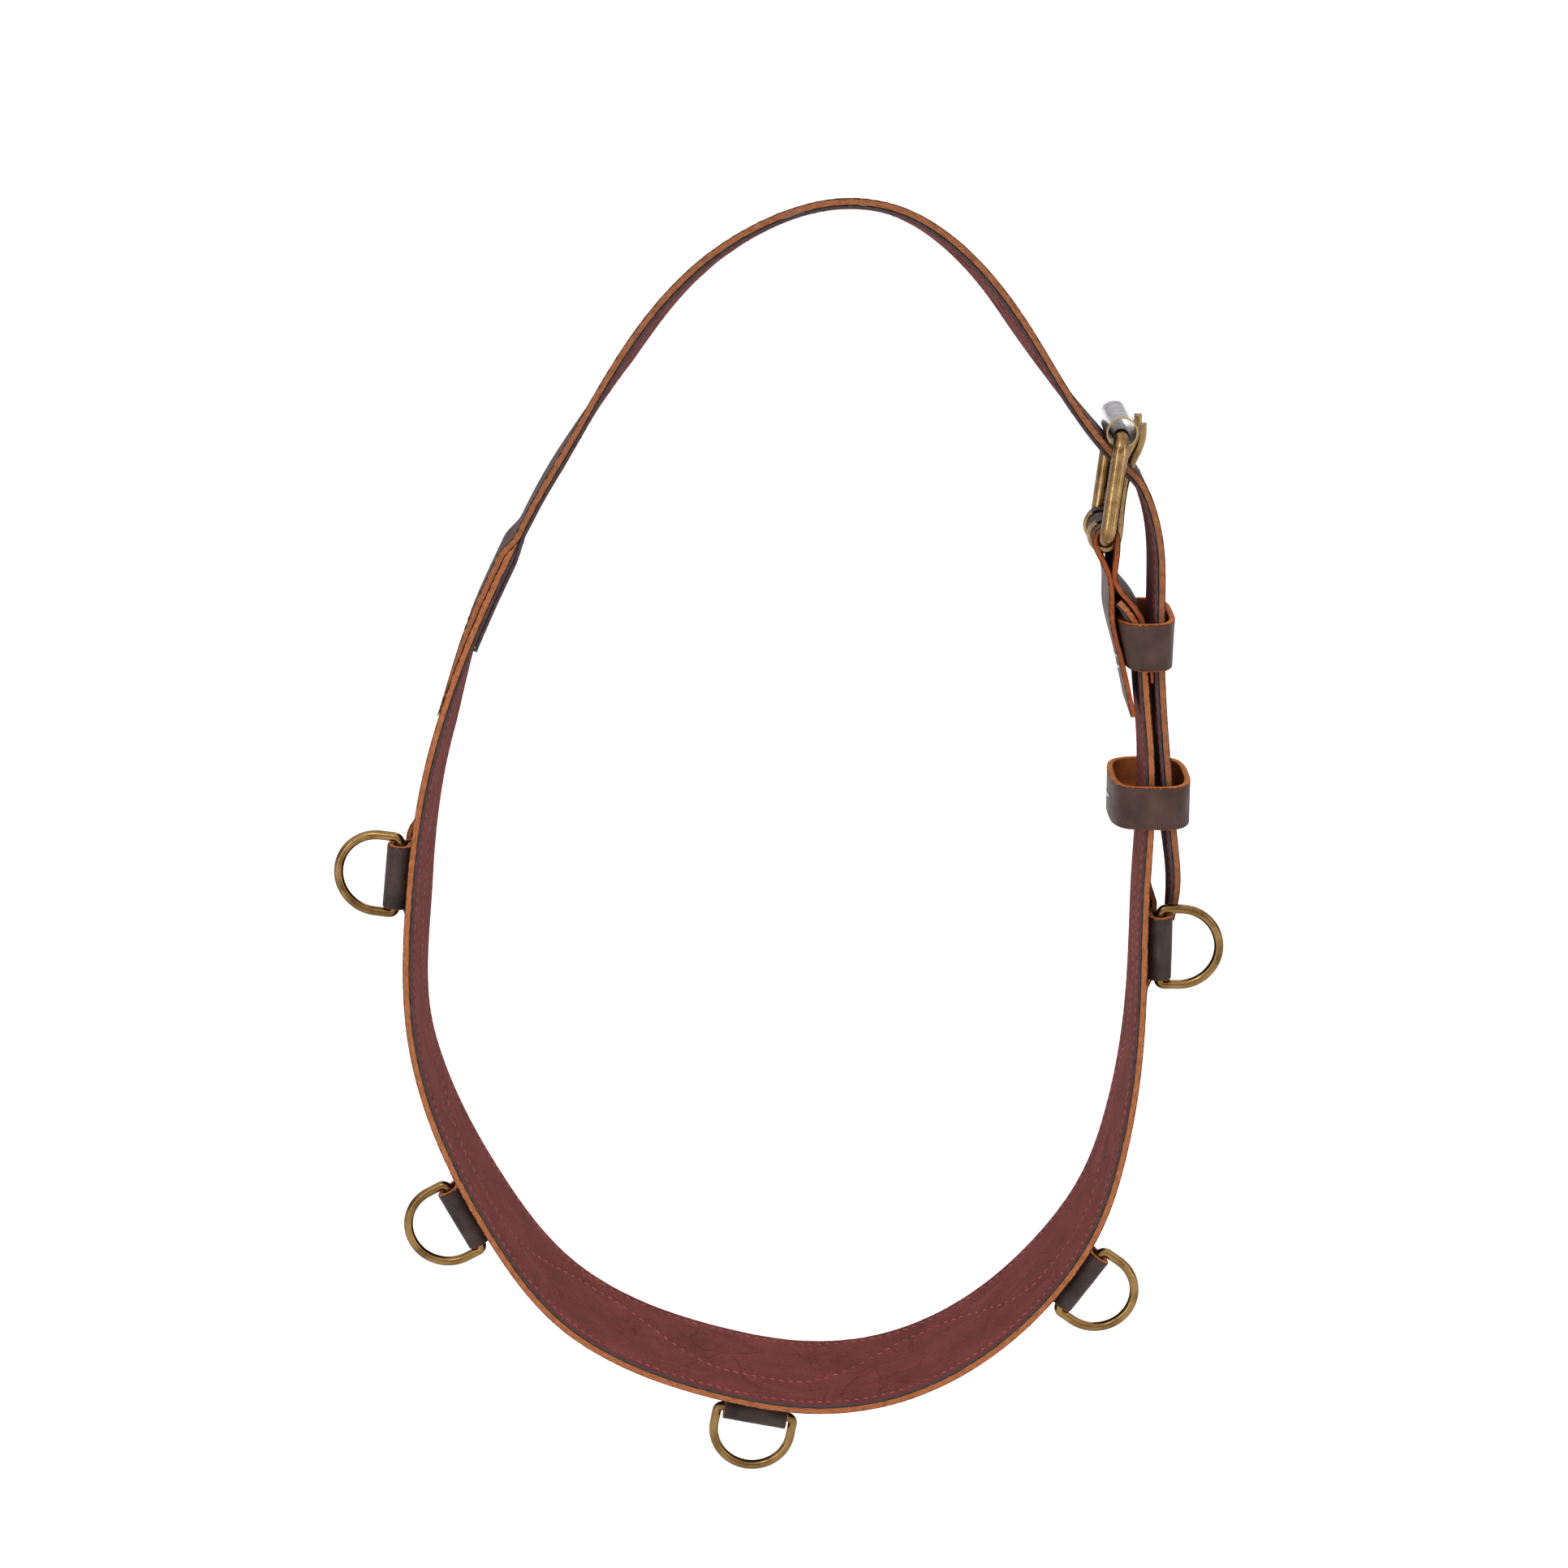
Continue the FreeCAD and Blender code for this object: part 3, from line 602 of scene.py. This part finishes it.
# A strip's three materials: its face, its edges and its back.
GRAIN_SIDES = [GRAIN, TAN_EDGE, FLESH]
BILLET_SIDES = [GRAIN, BILLET_EDGE, FLESH]
LINING_SIDES = [FLESH, LINING_EDGE, SUEDE]


def chrome_look():
    """Bright roller, with the brass tint of its base metal on the end rims."""
    look = Look("bright_chrome", Metallic=1.0)
    smear = look.noise(5, detail=4)
    along = look.add("SeparateXYZ", Vector=look.object_coords).outputs["Y"]
    from_middle = look.maths("ABSOLUTE", along, 0.0)
    rim_start, rim_end = 18.3, 18.42
    rim = look.scaled(from_middle, rim_start * MM, rim_end * MM)
    colour = look.ramp(smear, (0.3, "#d9d3da"), (0.7, "#efecf0"))
    colour = look.mix(rim, colour, rgb("#a88d58"))
    return look.finish(colour, look.scaled(smear, 0.3, 0.7, 0.1, 0.2), look.bump(smear, 0.015))


def steel_look():
    look = Look("steel_wire", Metallic=1.0)
    smear = look.noise(1.5, detail=4)
    colour = look.ramp(smear, (0.3, "#a9acb0"), (0.7, "#dcdde0"))
    return look.finish(colour, look.scaled(smear, 0.3, 0.7, 0.22, 0.4), look.bump(smear, 0.03))


CHROME = chrome_look()
STEEL = steel_look()


# ---------------------------------------------------------------- strap plies
ROW_STEP = 1.5
PLY_CORNER = 0.35
STITCH_INSET = 3.4
WAVY_INSET = 2.3
GROOVE_DEPTH, GROOVE_HALF = 0.28, 0.9
TAB_RISE_START, TAB_RISE_END = TAB_WIDTH / 2 + 0.8, TAB_WIDTH / 2 + 9
SCALLOP_START, SCALLOP_END = 14, 66
SCALLOP_FORWARD, SCALLOP_BACK = 0.3, 0.76    # shares of the belt's width
BELT_SKIVE, BELT_SKIVE_LENGTH = 0.8, 8


def billet_top(s):
    over_belt = SKIVED_EDGE + (PLY_OUTER - SKIVED_EDGE) * smooth(s, TAPER_START, TAPER_END)
    return (over_belt + CLEAR) * (1 - smooth(s, NECK_START, NECK_END))


def billet_split(s):
    return CLEAR - (PLY_OUTER + CLEAR) * smooth(s, NECK_START, NECK_END)


def lining_top(s):
    return -(PLY + CLEAR) + PLY_LINING * smooth(s, NECK_START, NECK_END)


def between_plies(s, off):
    """off, kept inside the wedge between the billet's plies past the belt's end."""
    return np.clip(off, lining_top(s) + 0.5 * CLEAR, billet_split(s) - 0.5 * CLEAR)


def tail_inset(s):
    left = np.clip((TIP - s) / TAIL, 0, 1)
    return (HALF - TIP_HALF) * (1 - left) ** 1.25


def ring_nearness(s, inside, outside):
    """1 within inside of a ring's middle, 0 beyond outside."""
    away = np.min([np.abs(s - centre) for centre in RING_AT.values()], axis=0)
    return 1 - smooth(away, inside, outside)


def overlay_lift(s):
    lift = ring_nearness(s, TAB_RISE_START, TAB_RISE_END)
    return 2 * CLEAR + (2 * TAB_SKIVED + CLEAR + 0.5) * lift


def overlay_near(s):
    width = belt_width(s)
    forward = np.maximum(SCALLOP_FORWARD * width, BAR_INSET + 11.2)
    back = SCALLOP_BACK * width
    return back + (forward - back) * ring_nearness(s, SCALLOP_START, SCALLOP_END)


def overlay_top(s):
    return overlay_lift(s) + OVERLAY_THICK


def row_lengths(start, end):
    return np.linspace(start, end, math.ceil((end - start) / ROW_STEP) + 1)


def ply(name, start, end, sizes, counts, stitch_rows, waver=0.12, seed=1):
    """Mesh of one ply: sizes(s) gives low, high, bottom and top; stitch_rows are its grooves."""
    s = row_lengths(start, end)
    frames = strap_frames(s)
    face, back = (columns(count, 0.55) for count in counts)
    low, high, bottom, top = sizes(s)
    across, off, patches = outline(low, high, bottom, top, face, back, PLY_CORNER)
    middle = ((bottom + top) / 2 + 0 * s)[:, None]
    side = np.sign(off - middle)
    groove = np.zeros_like(off)
    for row in stitch_rows:
        gap = (across - row(s)[:, None]) / GROOVE_HALF
        groove = np.maximum(groove, np.exp(-gap ** 2))
    inside = (across > low[:, None] + 1) & (across < high[:, None] - 1)
    off = off - side * groove * GROOVE_DEPTH * inside
    points = frames.points(across, off)
    sway = rough(points, 9.0, seed) * waver
    points = points + frames.outward[:, None] * (sway * side * inside)[..., None]
    ragged = rough(points, 1.8, seed + 5) * waver * 1.2
    points = points + frames.across[:, None] * (ragged * ~inside)[..., None]
    return strip_mesh(name, points, patches, s)


def strap_piece(name, start, end, sizes, counts, stitch_rows, materials, node, slot, **surface):
    mesh = ply(name, start, end, sizes, counts, stitch_rows, **surface)
    return piece(name, mesh, materials, "root", [node])


def ones(s, value):
    return np.full_like(s, value)


def belt_rows():
    return [lambda s: ones(s, STITCH_INSET), lambda s: belt_width(s) - STITCH_INSET]


def wavy_row(s):
    """Stitch row that holds the overlay's scalloped edge."""
    return overlay_near(s) + WAVY_INSET


def billet_rows():
    return [lambda s: tail_inset(s) + STITCH_INSET,
            lambda s: STRAP_WIDTH - tail_inset(s) - STITCH_INSET]


def oval_punch(s_middle, across_middle):
    """Prism of one punched hole, square to the strap."""
    frames = strap_frames([s_middle])
    straight = (HOLE_LENGTH - HOLE_WIDTH) / 2
    angles = np.linspace(0, 2 * np.pi, 32, endpoint=False)
    across = across_middle + HOLE_WIDTH / 2 * np.cos(angles)
    along = HOLE_WIDTH / 2 * np.sin(angles) + straight * np.sign(np.sin(angles) + 1e-9)
    ring = frames.place[0] + frames.across[0] * across[:, None] + frames.along[0] * along[:, None]
    below, above = frames.outward[0] * 3 * PLY, frames.outward[0] * PLY
    return prism_mesh("punch", ring - below, ring + above)


def punches():
    meshes = []
    for step in range(-HOLES_EACH_WAY, HOLES_EACH_WAY + 1):
        for side in (-1, 1):
            meshes.append(oval_punch(HOLE_AT + step * HOLE_PITCH, HALF + side * PRONG_PITCH / 2))
    return joined("punches", meshes)


def belt_outer_sizes(s):
    past = s > BELT_END
    bottom = np.where(past, between_plies(s, -PLY_OUTER), -PLY_OUTER)
    top = np.where(past, between_plies(s, 0.0), 0.0)
    return ones(s, 0), belt_width(s), bottom, top


def belt_lining_sizes(s):
    past = s > BELT_END
    skived = BELT_SKIVE * (1 - smooth(s, 0, BELT_SKIVE_LENGTH))
    bottom = np.where(past, between_plies(s, -PLY), skived - PLY)
    top = np.where(past, between_plies(s, -PLY_OUTER), -PLY_OUTER)
    return ones(s, 0), belt_width(s), bottom, top


def billet_outer_sizes(s):
    return tail_inset(s), STRAP_WIDTH - tail_inset(s), billet_split(s), billet_top(s)


def billet_lining_sizes(s):
    top = lining_top(s)
    return tail_inset(s), STRAP_WIDTH - tail_inset(s), top - PLY_LINING, top


def overlay_sizes(s):
    return overlay_near(s), belt_width(s) - 0.5, overlay_lift(s), overlay_top(s)


def build_strap():
    strap_piece("belt_top_leather", 0, BELT_STOP, belt_outer_sizes, (44, 8), belt_rows(),
                GRAIN_SIDES, "belt_outer", "grain_leather")
    strap_piece("belt_suede_lining", 0, BELT_STOP, belt_lining_sizes, (8, 84),
                belt_rows() + [wavy_row], LINING_SIDES, "belt_lining", "suede_lining",
                waver=0.2, seed=2)
    top = strap_piece("billet_top_leather", TAPER_START, TIP, billet_outer_sizes, (40, 8),
                      billet_rows(), BILLET_SIDES, "billet_outer", "grain_leather", seed=3)
    lining = strap_piece("billet_suede_lining", LINING_START, TIP, billet_lining_sizes, (8, 48),
                         billet_rows(), LINING_SIDES, "billet_lining", "suede_lining",
                         waver=0.2, seed=4)
    for obj in (top, lining):
        carve(obj, punches())


def build_overlay():
    rows = [wavy_row, belt_rows()[1]]
    strap_piece("ring_overlay_leather", OVERLAY_START, OVERLAY_END, overlay_sizes, (44, 8), rows,
                GRAIN_SIDES, "ring_overlay", "grain_leather", seed=6)


# ---------------------------------------------------------------- bent strips
def arc(x, z, radius, angles):
    """Points of a circle round (x, z) at angles in degrees."""
    turns = [math.radians(angle) for angle in angles]
    return [(x + radius * math.cos(turn), z + radius * math.sin(turn)) for turn in turns]


def ribbon(name, route, steps, width, frames_of, corner=0.45, columns_across=20, seed=1,
           waver=0.08):
    """Bent strip with its thickness in the route's third column, width across."""
    s = np.linspace(0, route.length, steps + 1)
    at, tangent = route.at(s), route.direction(s)
    frames = frames_of(at, tangent)
    thick = at[:, 2]
    face = columns(columns_across)
    across, off, patches = outline(ones(s, -width / 2), ones(s, width / 2), -thick / 2, thick / 2,
                                   face, face, corner)
    points = frames.points(across, off)
    side = np.sign(off)
    sway = rough(points, 6.0, seed) * waver
    points = points + frames.outward[:, None] * (sway * side)[..., None]
    return strip_mesh(name, points, patches, s)


def plane_frames(y):
    """Frames for a route in the XZ plane at y; the strip's width lies along Y."""
    def make(at, tangent):
        normal = np.stack([-tangent[:, 1], tangent[:, 0]], axis=1)
        return Frames(on_plane(at, y), on_plane(tangent), on_plane(normal))
    return make


def tab_points(width):
    """Route of a folded tab across a belt this wide: flat leg, fold round the ring, top leg."""
    inset, height = BAR_INSET, TAB_HEIGHT
    end = width - 4.0
    middle, radius = (height + CLEAR) / 2, (height - CLEAR - TAB_THICK) / 2
    start = inset + 11.0
    flat = np.linspace(start, end, round((end - start) / 4) + 1)
    points = [(x, TAB_SKIVED / 2 + CLEAR, TAB_SKIVED) for x in flat[::-1]]
    mid_thick = (TAB_THICK + TAB_SKIVED) / 2
    points.append((inset + 7, mid_thick / 2 + CLEAR, mid_thick))
    points.append((inset + 3, TAB_THICK / 2 + CLEAR, TAB_THICK))
    fold = arc(inset, middle, radius, range(-90, -271, -30))
    points += [(x, z, TAB_THICK) for x, z in fold]
    points.append((inset + 3, height - TAB_THICK / 2 - 0.6, TAB_THICK))
    points.append((inset + 5.8, height - TAB_THICK / 2 - 3.2, 0.8 * TAB_THICK))
    points.append((inset + 8.3, 1.5 * TAB_SKIVED + 1.4, TAB_SKIVED))
    points += [(x, 1.5 * TAB_SKIVED + 3 * CLEAR, TAB_SKIVED) for x in flat]
    return points


def tab_frames(centre):
    """Frames for a route that runs across the strap at length centre and out from it."""
    station = strap_frames([centre])
    near, across, outward = station.place[0], station.across[0], station.outward[0]

    def make(at, tangent):
        place = near + at[:, :1] * across + at[:, 1:2] * outward
        along = tangent[:, :1] * across + tangent[:, 1:] * outward
        normal = -tangent[:, 1:] * across + tangent[:, :1] * outward
        return Frames(place, along, normal)
    return make


def build_tabs():
    for index, centre in RING_AT.items():
        route = Route(tab_points(belt_width(np.array([centre]))[0]))
        name = f"ring_tab_{index}_leather"
        mesh = ribbon(name, route, 130, TAB_WIDTH, tab_frames(centre), corner=0.5, seed=20 + index)
        piece(name, mesh, [TAB_FACE, TAB_EDGE, TAB_FACE], "root", [f"ring_tab_{index}"])


def ring_round(centre, radius, y_low, y_high, count=64):
    """Prism of a round cutter whose axis is along Y."""
    angles = np.linspace(0, 2 * np.pi, count, endpoint=False)
    ring = centre + radius * np.stack([np.cos(angles), 0 * angles, np.sin(angles)], axis=1)
    return prism_mesh("round", ring + [0, y_low, 0], ring + [0, y_high, 0])


def build_chape():
    radius = HEEL_RADIUS + 0.3 + CHAPE_THICK / 2
    inner_leg = [(107.2, -188.5), (104.9, -178), (102.5, -168), (100.0, -159), (98.3, -150.5),
                 (98.1, -141.5), (97.1, -135.5), (93.9, -128.2)]
    outer_leg = [(99.7, -128.5), (99.2, -134.2), (100.4, -139.2), (103.4, -143.0),
                 (107.9, -148.7), (110.8, -155.0), (112.8, -163.5)]
    fold = arc(HEEL[0], HEEL[2], radius, range(190, -11, -40))
    points = [(x, z, CHAPE_THICK) for x, z in inner_leg + fold + outer_leg]
    points.append((114.0, -175.5, 0.6 * CHAPE_THICK))
    mesh = ribbon("buckle_chape_leather", Route(points), 150, STRAP_WIDTH, plane_frames(0.0),
                  columns_across=40, seed=31)
    chape = piece("buckle_chape_leather", mesh, [KEEPER_FACE, CHAPE_EDGE, FLESH], "root",
                  ["buckle_chape"])
    half = PRONG_WIDTH / 2 + 0.6
    slots = []
    for side in (-1, 1):
        y = side * PRONG_PITCH / 2
        slots.append(ring_round(HEEL, CURL_INNER + PRONG_THICK + 0.5, y - half, y + half))
    carve(chape, joined("slots", slots))


def build_prongs():
    curl = arc(HEEL[0], HEEL[2], CURL_INNER + PRONG_THICK / 2, range(120, 361, 30))
    shank = [(101.4, -114), (102.1, -106), (103.4, -99.2), (105.5, -93), (107.9, -87.6),
             (108.7, -84.4), (108.8, -79.4)]
    route = Route([(x, z, PRONG_THICK) for x, z in curl + shank])
    for side, tag in ((-1, "near"), (1, "far")):
        name = f"prong_{tag}_brass"
        mesh = ribbon(name, route, 130, PRONG_WIDTH, plane_frames(side * PRONG_PITCH / 2),
                      corner=0.7, columns_across=6, seed=40, waver=0.02)
        piece(name, mesh, [BUCKLE_BRASS] * 3, f"prong_{tag}", [f"buckle_prong_{tag}"])


# ---------------------------------------------------------------- keepers
def rounded_path(x0, x1, half_y, power, count):
    """Evenly spaced (x, y) points and their outward normals round a superellipse."""
    middle, half_x = (x0 + x1) / 2, (x1 - x0) / 2
    turn = np.linspace(0, 2 * np.pi, 1441)
    cosine, sine = np.cos(turn), np.sin(turn)
    places = np.column_stack([middle + half_x * np.sign(cosine) * np.abs(cosine) ** (2 / power),
                              half_y * np.sign(sine) * np.abs(sine) ** (2 / power)])
    length = np.concatenate([[0], np.cumsum(np.linalg.norm(np.diff(places, axis=0), axis=1))])
    s = np.linspace(0, length[-1], count, endpoint=False)
    even = np.column_stack([np.interp(s, length, column) for column in places.T])
    ahead = unit(np.roll(even, -1, axis=0) - np.roll(even, 1, axis=0))
    return s, even, np.column_stack([ahead[:, 1], -ahead[:, 0]])


def build_keeper(name, body, power, bottom, top, stands_for, seed):
    """Leather loop between two levels, each (x0, x1, z); a higher power squares its corners."""
    count = 240
    s, low_ring, normal = rounded_path(bottom[0], bottom[1], KEEPER_HALF_DEPTH, power, count)
    _, high_ring, _ = rounded_path(top[0], top[1], KEEPER_HALF_DEPTH, power, count)
    low_place = np.column_stack([low_ring, np.full(count, bottom[2])])
    high_place = np.column_stack([high_ring, np.full(count, top[2])])
    rise = high_place - low_place
    height = np.linalg.norm(rise, axis=1)
    outward = np.column_stack([normal, np.zeros(count)])
    frames = Frames(low_place, np.cross(unit(rise), outward), outward)
    frames.across = unit(rise)
    across, off, patches = outline(ones(s, 0), height, ones(s, -KEEPER_WALL), ones(s, 0),
                                   columns(22), columns(12), 0.5)
    points = frames.points(across, off)
    points = points + frames.outward[:, None] * (rough(points, 8.0, seed) * 0.12)[..., None]
    points = points + frames.across[:, None] * (rough(points, 12.0, seed + 1) * 0.25)[..., None]
    mesh = strip_mesh(name, points, patches, s, closed=True)
    piece(name, mesh, [KEEPER_FACE, KEEPER_EDGE, KEEPER_FLESH], body, [stands_for])


def build_keepers():
    build_keeper("fixed_keeper_leather", "root", 3.6, (103.6, 122.0, -170.0),
                 (99.9, 122.7, -152.0), "fixed_keeper", 51)
    build_keeper("sliding_keeper_leather", "sliding_keeper", 3.3, (99.8, 130.2, -231.0),
                 (99.8, 130.2, -214.4), "sliding_keeper", 55)


# ---------------------------------------------------------------- thread and staples
THREAD_RADIUS = 0.36
THREAD_SIDES = 6
UV_SHIFTS = 97
PITCH = 3.7
LINING_STITCH, FACE_STITCH = 1.9, 2.9
BELT_ROW_START = 42.0
BILLET_ROW_END = TIP - 12
STAPLE_RADIUS = 0.42


def tube_mesh(name, paths, outward, radius, flat=1.0):
    """Closed tubes along paths (count, points, 3); flat squeezes them along outward."""
    count, steps = paths.shape[:2]
    along = unit(np.gradient(paths, axis=1))
    side = unit(np.cross(outward, along))
    up = np.cross(along, side)
    angles = np.arange(THREAD_SIDES) * 2 * np.pi / THREAD_SIDES
    ring = (side[:, :, None] * np.cos(angles)[:, None]
            + up[:, :, None] * (flat * np.sin(angles))[:, None]) * radius
    points = (paths[:, :, None] + ring).reshape(-1, 3)
    base = (np.arange(count) * steps * THREAD_SIDES)[:, None, None]
    row = (np.arange(steps - 1) * THREAD_SIDES)[None, :, None]
    a = np.arange(THREAD_SIDES)[None, None]
    b = (a + 1) % THREAD_SIDES
    quads = np.stack([base + row + a, base + row + b, base + row + THREAD_SIDES + b,
                      base + row + THREAD_SIDES + a], axis=-1).reshape(-1, 4).tolist()
    caps = []
    for first in range(0, count * steps * THREAD_SIDES, steps * THREAD_SIDES):
        last = first + (steps - 1) * THREAD_SIDES
        caps.append(list(range(first, first + THREAD_SIDES))[::-1])
        caps.append(list(range(last, last + THREAD_SIDES)))
    mesh = bpy.data.meshes.new(name)
    mesh.from_pydata((points * MM).tolist(), [], quads + caps)
    mesh.polygons.foreach_set("use_smooth", np.ones(len(mesh.polygons), bool))
    tile = np.array([(0, 0), (0, 1), (1, 1), (1, 0)], np.float32) * MM
    shifts = np.repeat(np.arange(len(quads)) % UV_SHIFTS, 4)[:, None] * MM
    add_uv(mesh, np.tile(tile, (len(quads), 1)) + shifts)
    return face_outward(mesh)


def stitch_row(start, end, across, surface, face, length, generator):
    """Mesh of one row of stitches; face is 1 on the outside and -1 on the lining."""
    middles = np.arange(start + PITCH / 2, end - PITCH / 2, PITCH)
    shares = np.array([-0.5, -0.42, -0.2, 0.2, 0.42, 0.5])
    heights = np.array([-0.55, -0.2, 0.02, 0.02, -0.2, -0.55]) - GROOVE_DEPTH * 0.7
    lengths = length * generator.uniform(0.88, 1.1, len(middles))
    s = (middles[:, None] + lengths[:, None] * shares).ravel()
    raised = generator.uniform(-0.05, 0.05, len(middles))
    lift = np.tile(heights, len(middles)) + np.repeat(raised, 6)
    shifted = generator.uniform(-0.12, 0.12, len(middles))
    slant = np.tile(shares, len(middles)) * 0.5 + np.repeat(shifted, 6)
    frames = strap_frames(s)
    points = frames.points((across(s) + slant)[:, None], (surface(s) + face * lift)[:, None])
    paths = points.reshape(len(middles), 6, 3)
    outward = (frames.outward * face).reshape(len(middles), 6, 3)
    return tube_mesh("stitches", paths, outward, THREAD_RADIUS, flat=0.85)


def build_thread():
    generator = np.random.default_rng(7)
    belt_near, belt_far = belt_rows()

    def belt_top(s):
        return ones(s, 0)

    def belt_under(s):
        return ones(s, -PLY)

    def billet_under(s):
        return lining_top(s) - PLY_LINING

    def lining_row(start, end, across, surface):
        return stitch_row(start, end, across, surface, -1, LINING_STITCH, generator)

    def face_row(start, end, across, surface):
        return stitch_row(start, end, across, surface, 1, FACE_STITCH, generator)

    lining_rows = [
        lining_row(BELT_ROW_START, LINING_START - 3, belt_near, belt_under),
        lining_row(BELT_ROW_START, LINING_START - 3, belt_far, belt_under),
        lining_row(OVERLAY_START + 3, OVERLAY_END - 3, wavy_row, belt_under),
    ]
    piece("lining_thread", joined("lining_thread", lining_rows), [THREAD], "root")
    face_rows = [
        face_row(BELT_ROW_START, TAPER_START - 2, belt_near, belt_top),
        face_row(BELT_ROW_START, OVERLAY_START - 2, belt_far, belt_top),
        face_row(OVERLAY_END + 2, TAPER_START - 2, belt_far, belt_top),
        face_row(OVERLAY_START + 3, OVERLAY_END - 3, belt_far, overlay_top),
        face_row(OVERLAY_START + 3, OVERLAY_END - 3, wavy_row, overlay_top),
    ]
    piece("belt_thread", joined("belt_thread", face_rows), [FACE_THREAD], "root")
    top_rows, under_rows = [], []
    for across in billet_rows():
        top_rows.append(face_row(TAPER_START + 3, BILLET_ROW_END, across, billet_top))
        under_rows.append(lining_row(LINING_START + 3, BILLET_ROW_END, across, billet_under))
    piece("billet_top_thread", joined("billet_top_thread", top_rows), [FACE_THREAD], "root")
    piece("billet_thread", joined("billet_thread", under_rows), [THREAD], "root")


def staple(name, x, z, lean):
    """Wire staple on a face that looks towards -X: legs go in, the crown lies flat."""
    half, leg, bend = 4.5, 1.0, 0.7
    y = [-half + 0.1, -half + 0.05, -half + bend * 0.4, -half + bend, 0,
         half - bend, half - bend * 0.4, half - 0.05, half - 0.1]
    depth = [leg + 0.4, leg * 0.6, 0.2, 0, 0, 0, 0.2, leg * 0.6, leg + 0.4]
    path = np.array([[x + inward, across, z + lean * across] for across, inward in zip(y, depth)])
    outward = np.broadcast_to(np.array([-1.0, 0.0, 0.2]), (1, len(path), 3))
    return tube_mesh(name, path[None], outward, STAPLE_RADIUS)


def build_staples():
    pair = [staple("staple", 101.3, -168.2, 0.03), staple("staple", 102.35, -172.6, -0.02)]
    piece("chape_staples_wire", joined("chape_staples_wire", pair), [STEEL], "root",
          ["chape_staples"])
    piece("keeper_staple_wire", staple("keeper_staple_wire", 99.6, -222.7, 0.02), [STEEL],
          "sliding_keeper", ["keeper_staple"])


# ---------------------------------------------------------------- hardware kept from the CAD
def repaint(node, material):
    for slot in NODES[node].material_slots:
        slot.material = material


def finish_hardware():
    for index in RING_AT:
        repaint(f"d_ring_{index}", RING_BRASS)
    repaint("buckle_frame", BUCKLE_BRASS)
    repaint("buckle_roller", CHROME)


# ---------------------------------------------------------------- stage
def build_stage():
    floor_mesh = bpy.data.meshes.new("floor")
    reach, level = 40.0, -0.56
    corners = [(-reach, -reach, level), (reach, -reach, level),
               (reach, reach, level), (-reach, reach, level)]
    floor_mesh.from_pydata(corners, [], [(0, 1, 2, 3)])
    floor = placed("floor", floor_mesh)
    pale = Look("pale_floor", Roughness=0.9, Specular_IOR_Level=0.0)
    pale.shader.inputs["Base Color"].default_value = (0.95, 0.95, 0.95, 1)
    floor_mesh.materials.append(pale.material)


def area_light(name, place, target, size, watts, height=None):
    """Soft light aimed at target: a disk, or an upright strip when it has a height."""
    light = bpy.data.lights.new(name, "AREA")
    light.shape = "RECTANGLE" if height else "DISK"
    light.size = size
    if height:
        light.size_y = height
    light.energy = watts
    obj = placed(name, light)
    obj.location = place
    aim = np.array(target) - np.array(place)
    obj.rotation_euler = Vector(aim).to_track_quat("-Z", "Y").to_euler()


def build_light():
    world = bpy.data.worlds.new("studio")
    bpy.context.scene.world = world
    world.use_nodes = True
    tree = world.node_tree
    sky = tree.nodes["Background"]
    sky.inputs["Strength"].default_value = 1.35
    around = tree.nodes.new("ShaderNodeTexCoord")
    height = tree.nodes.new("ShaderNodeSeparateXYZ")
    dome = tree.nodes.new("ShaderNodeValToRGB")
    tree.links.new(around.outputs["Generated"], height.inputs["Vector"])
    tree.links.new(height.outputs["Z"], dome.inputs["Fac"])
    tree.links.new(dome.outputs["Color"], sky.inputs["Color"])
    shades = [(0.0, 0.74), (0.03, 0.74), (0.07, 0.24), (0.2, 0.34), (0.5, 0.95), (0.8, 1.0)]
    set_stops(dome.color_ramp, [(place, (shade, shade, shade, 1)) for place, shade in shades])
    middle = (-0.02, 0, -0.22)
    area_light("key", (-0.8, -1.4, 1.2), middle, 0.7, 9)
    area_light("back", (0.5, 1.3, 1.1), middle, 1.0, 8)
    area_light("left_strip", (-1.3, -1.5, -0.1), middle, 0.2, 8, height=1.3)
    area_light("right_strip", (1.5, -1.0, -0.1), middle, 0.2, 5, height=1.3)
    bpy.context.scene.view_settings.view_transform = "Standard"


def build_camera():
    distance, elevation = 1.5, math.radians(15)
    aim_x, aim_z = -0.023, -0.2193
    camera = bpy.data.cameras.new("camera")
    camera.sensor_width = 36
    camera.lens = 90.84
    obj = placed("camera", camera)
    obj.location = (aim_x, -distance * math.cos(elevation),
                    aim_z + distance * math.sin(elevation))
    obj.rotation_euler = (math.pi / 2 - elevation, 0, 0)
    bpy.context.scene.camera = obj


build_strap()
build_overlay()
build_tabs()
build_chape()
build_prongs()
build_keepers()
build_thread()
build_staples()
finish_hardware()
build_stage()
build_light()
build_camera()
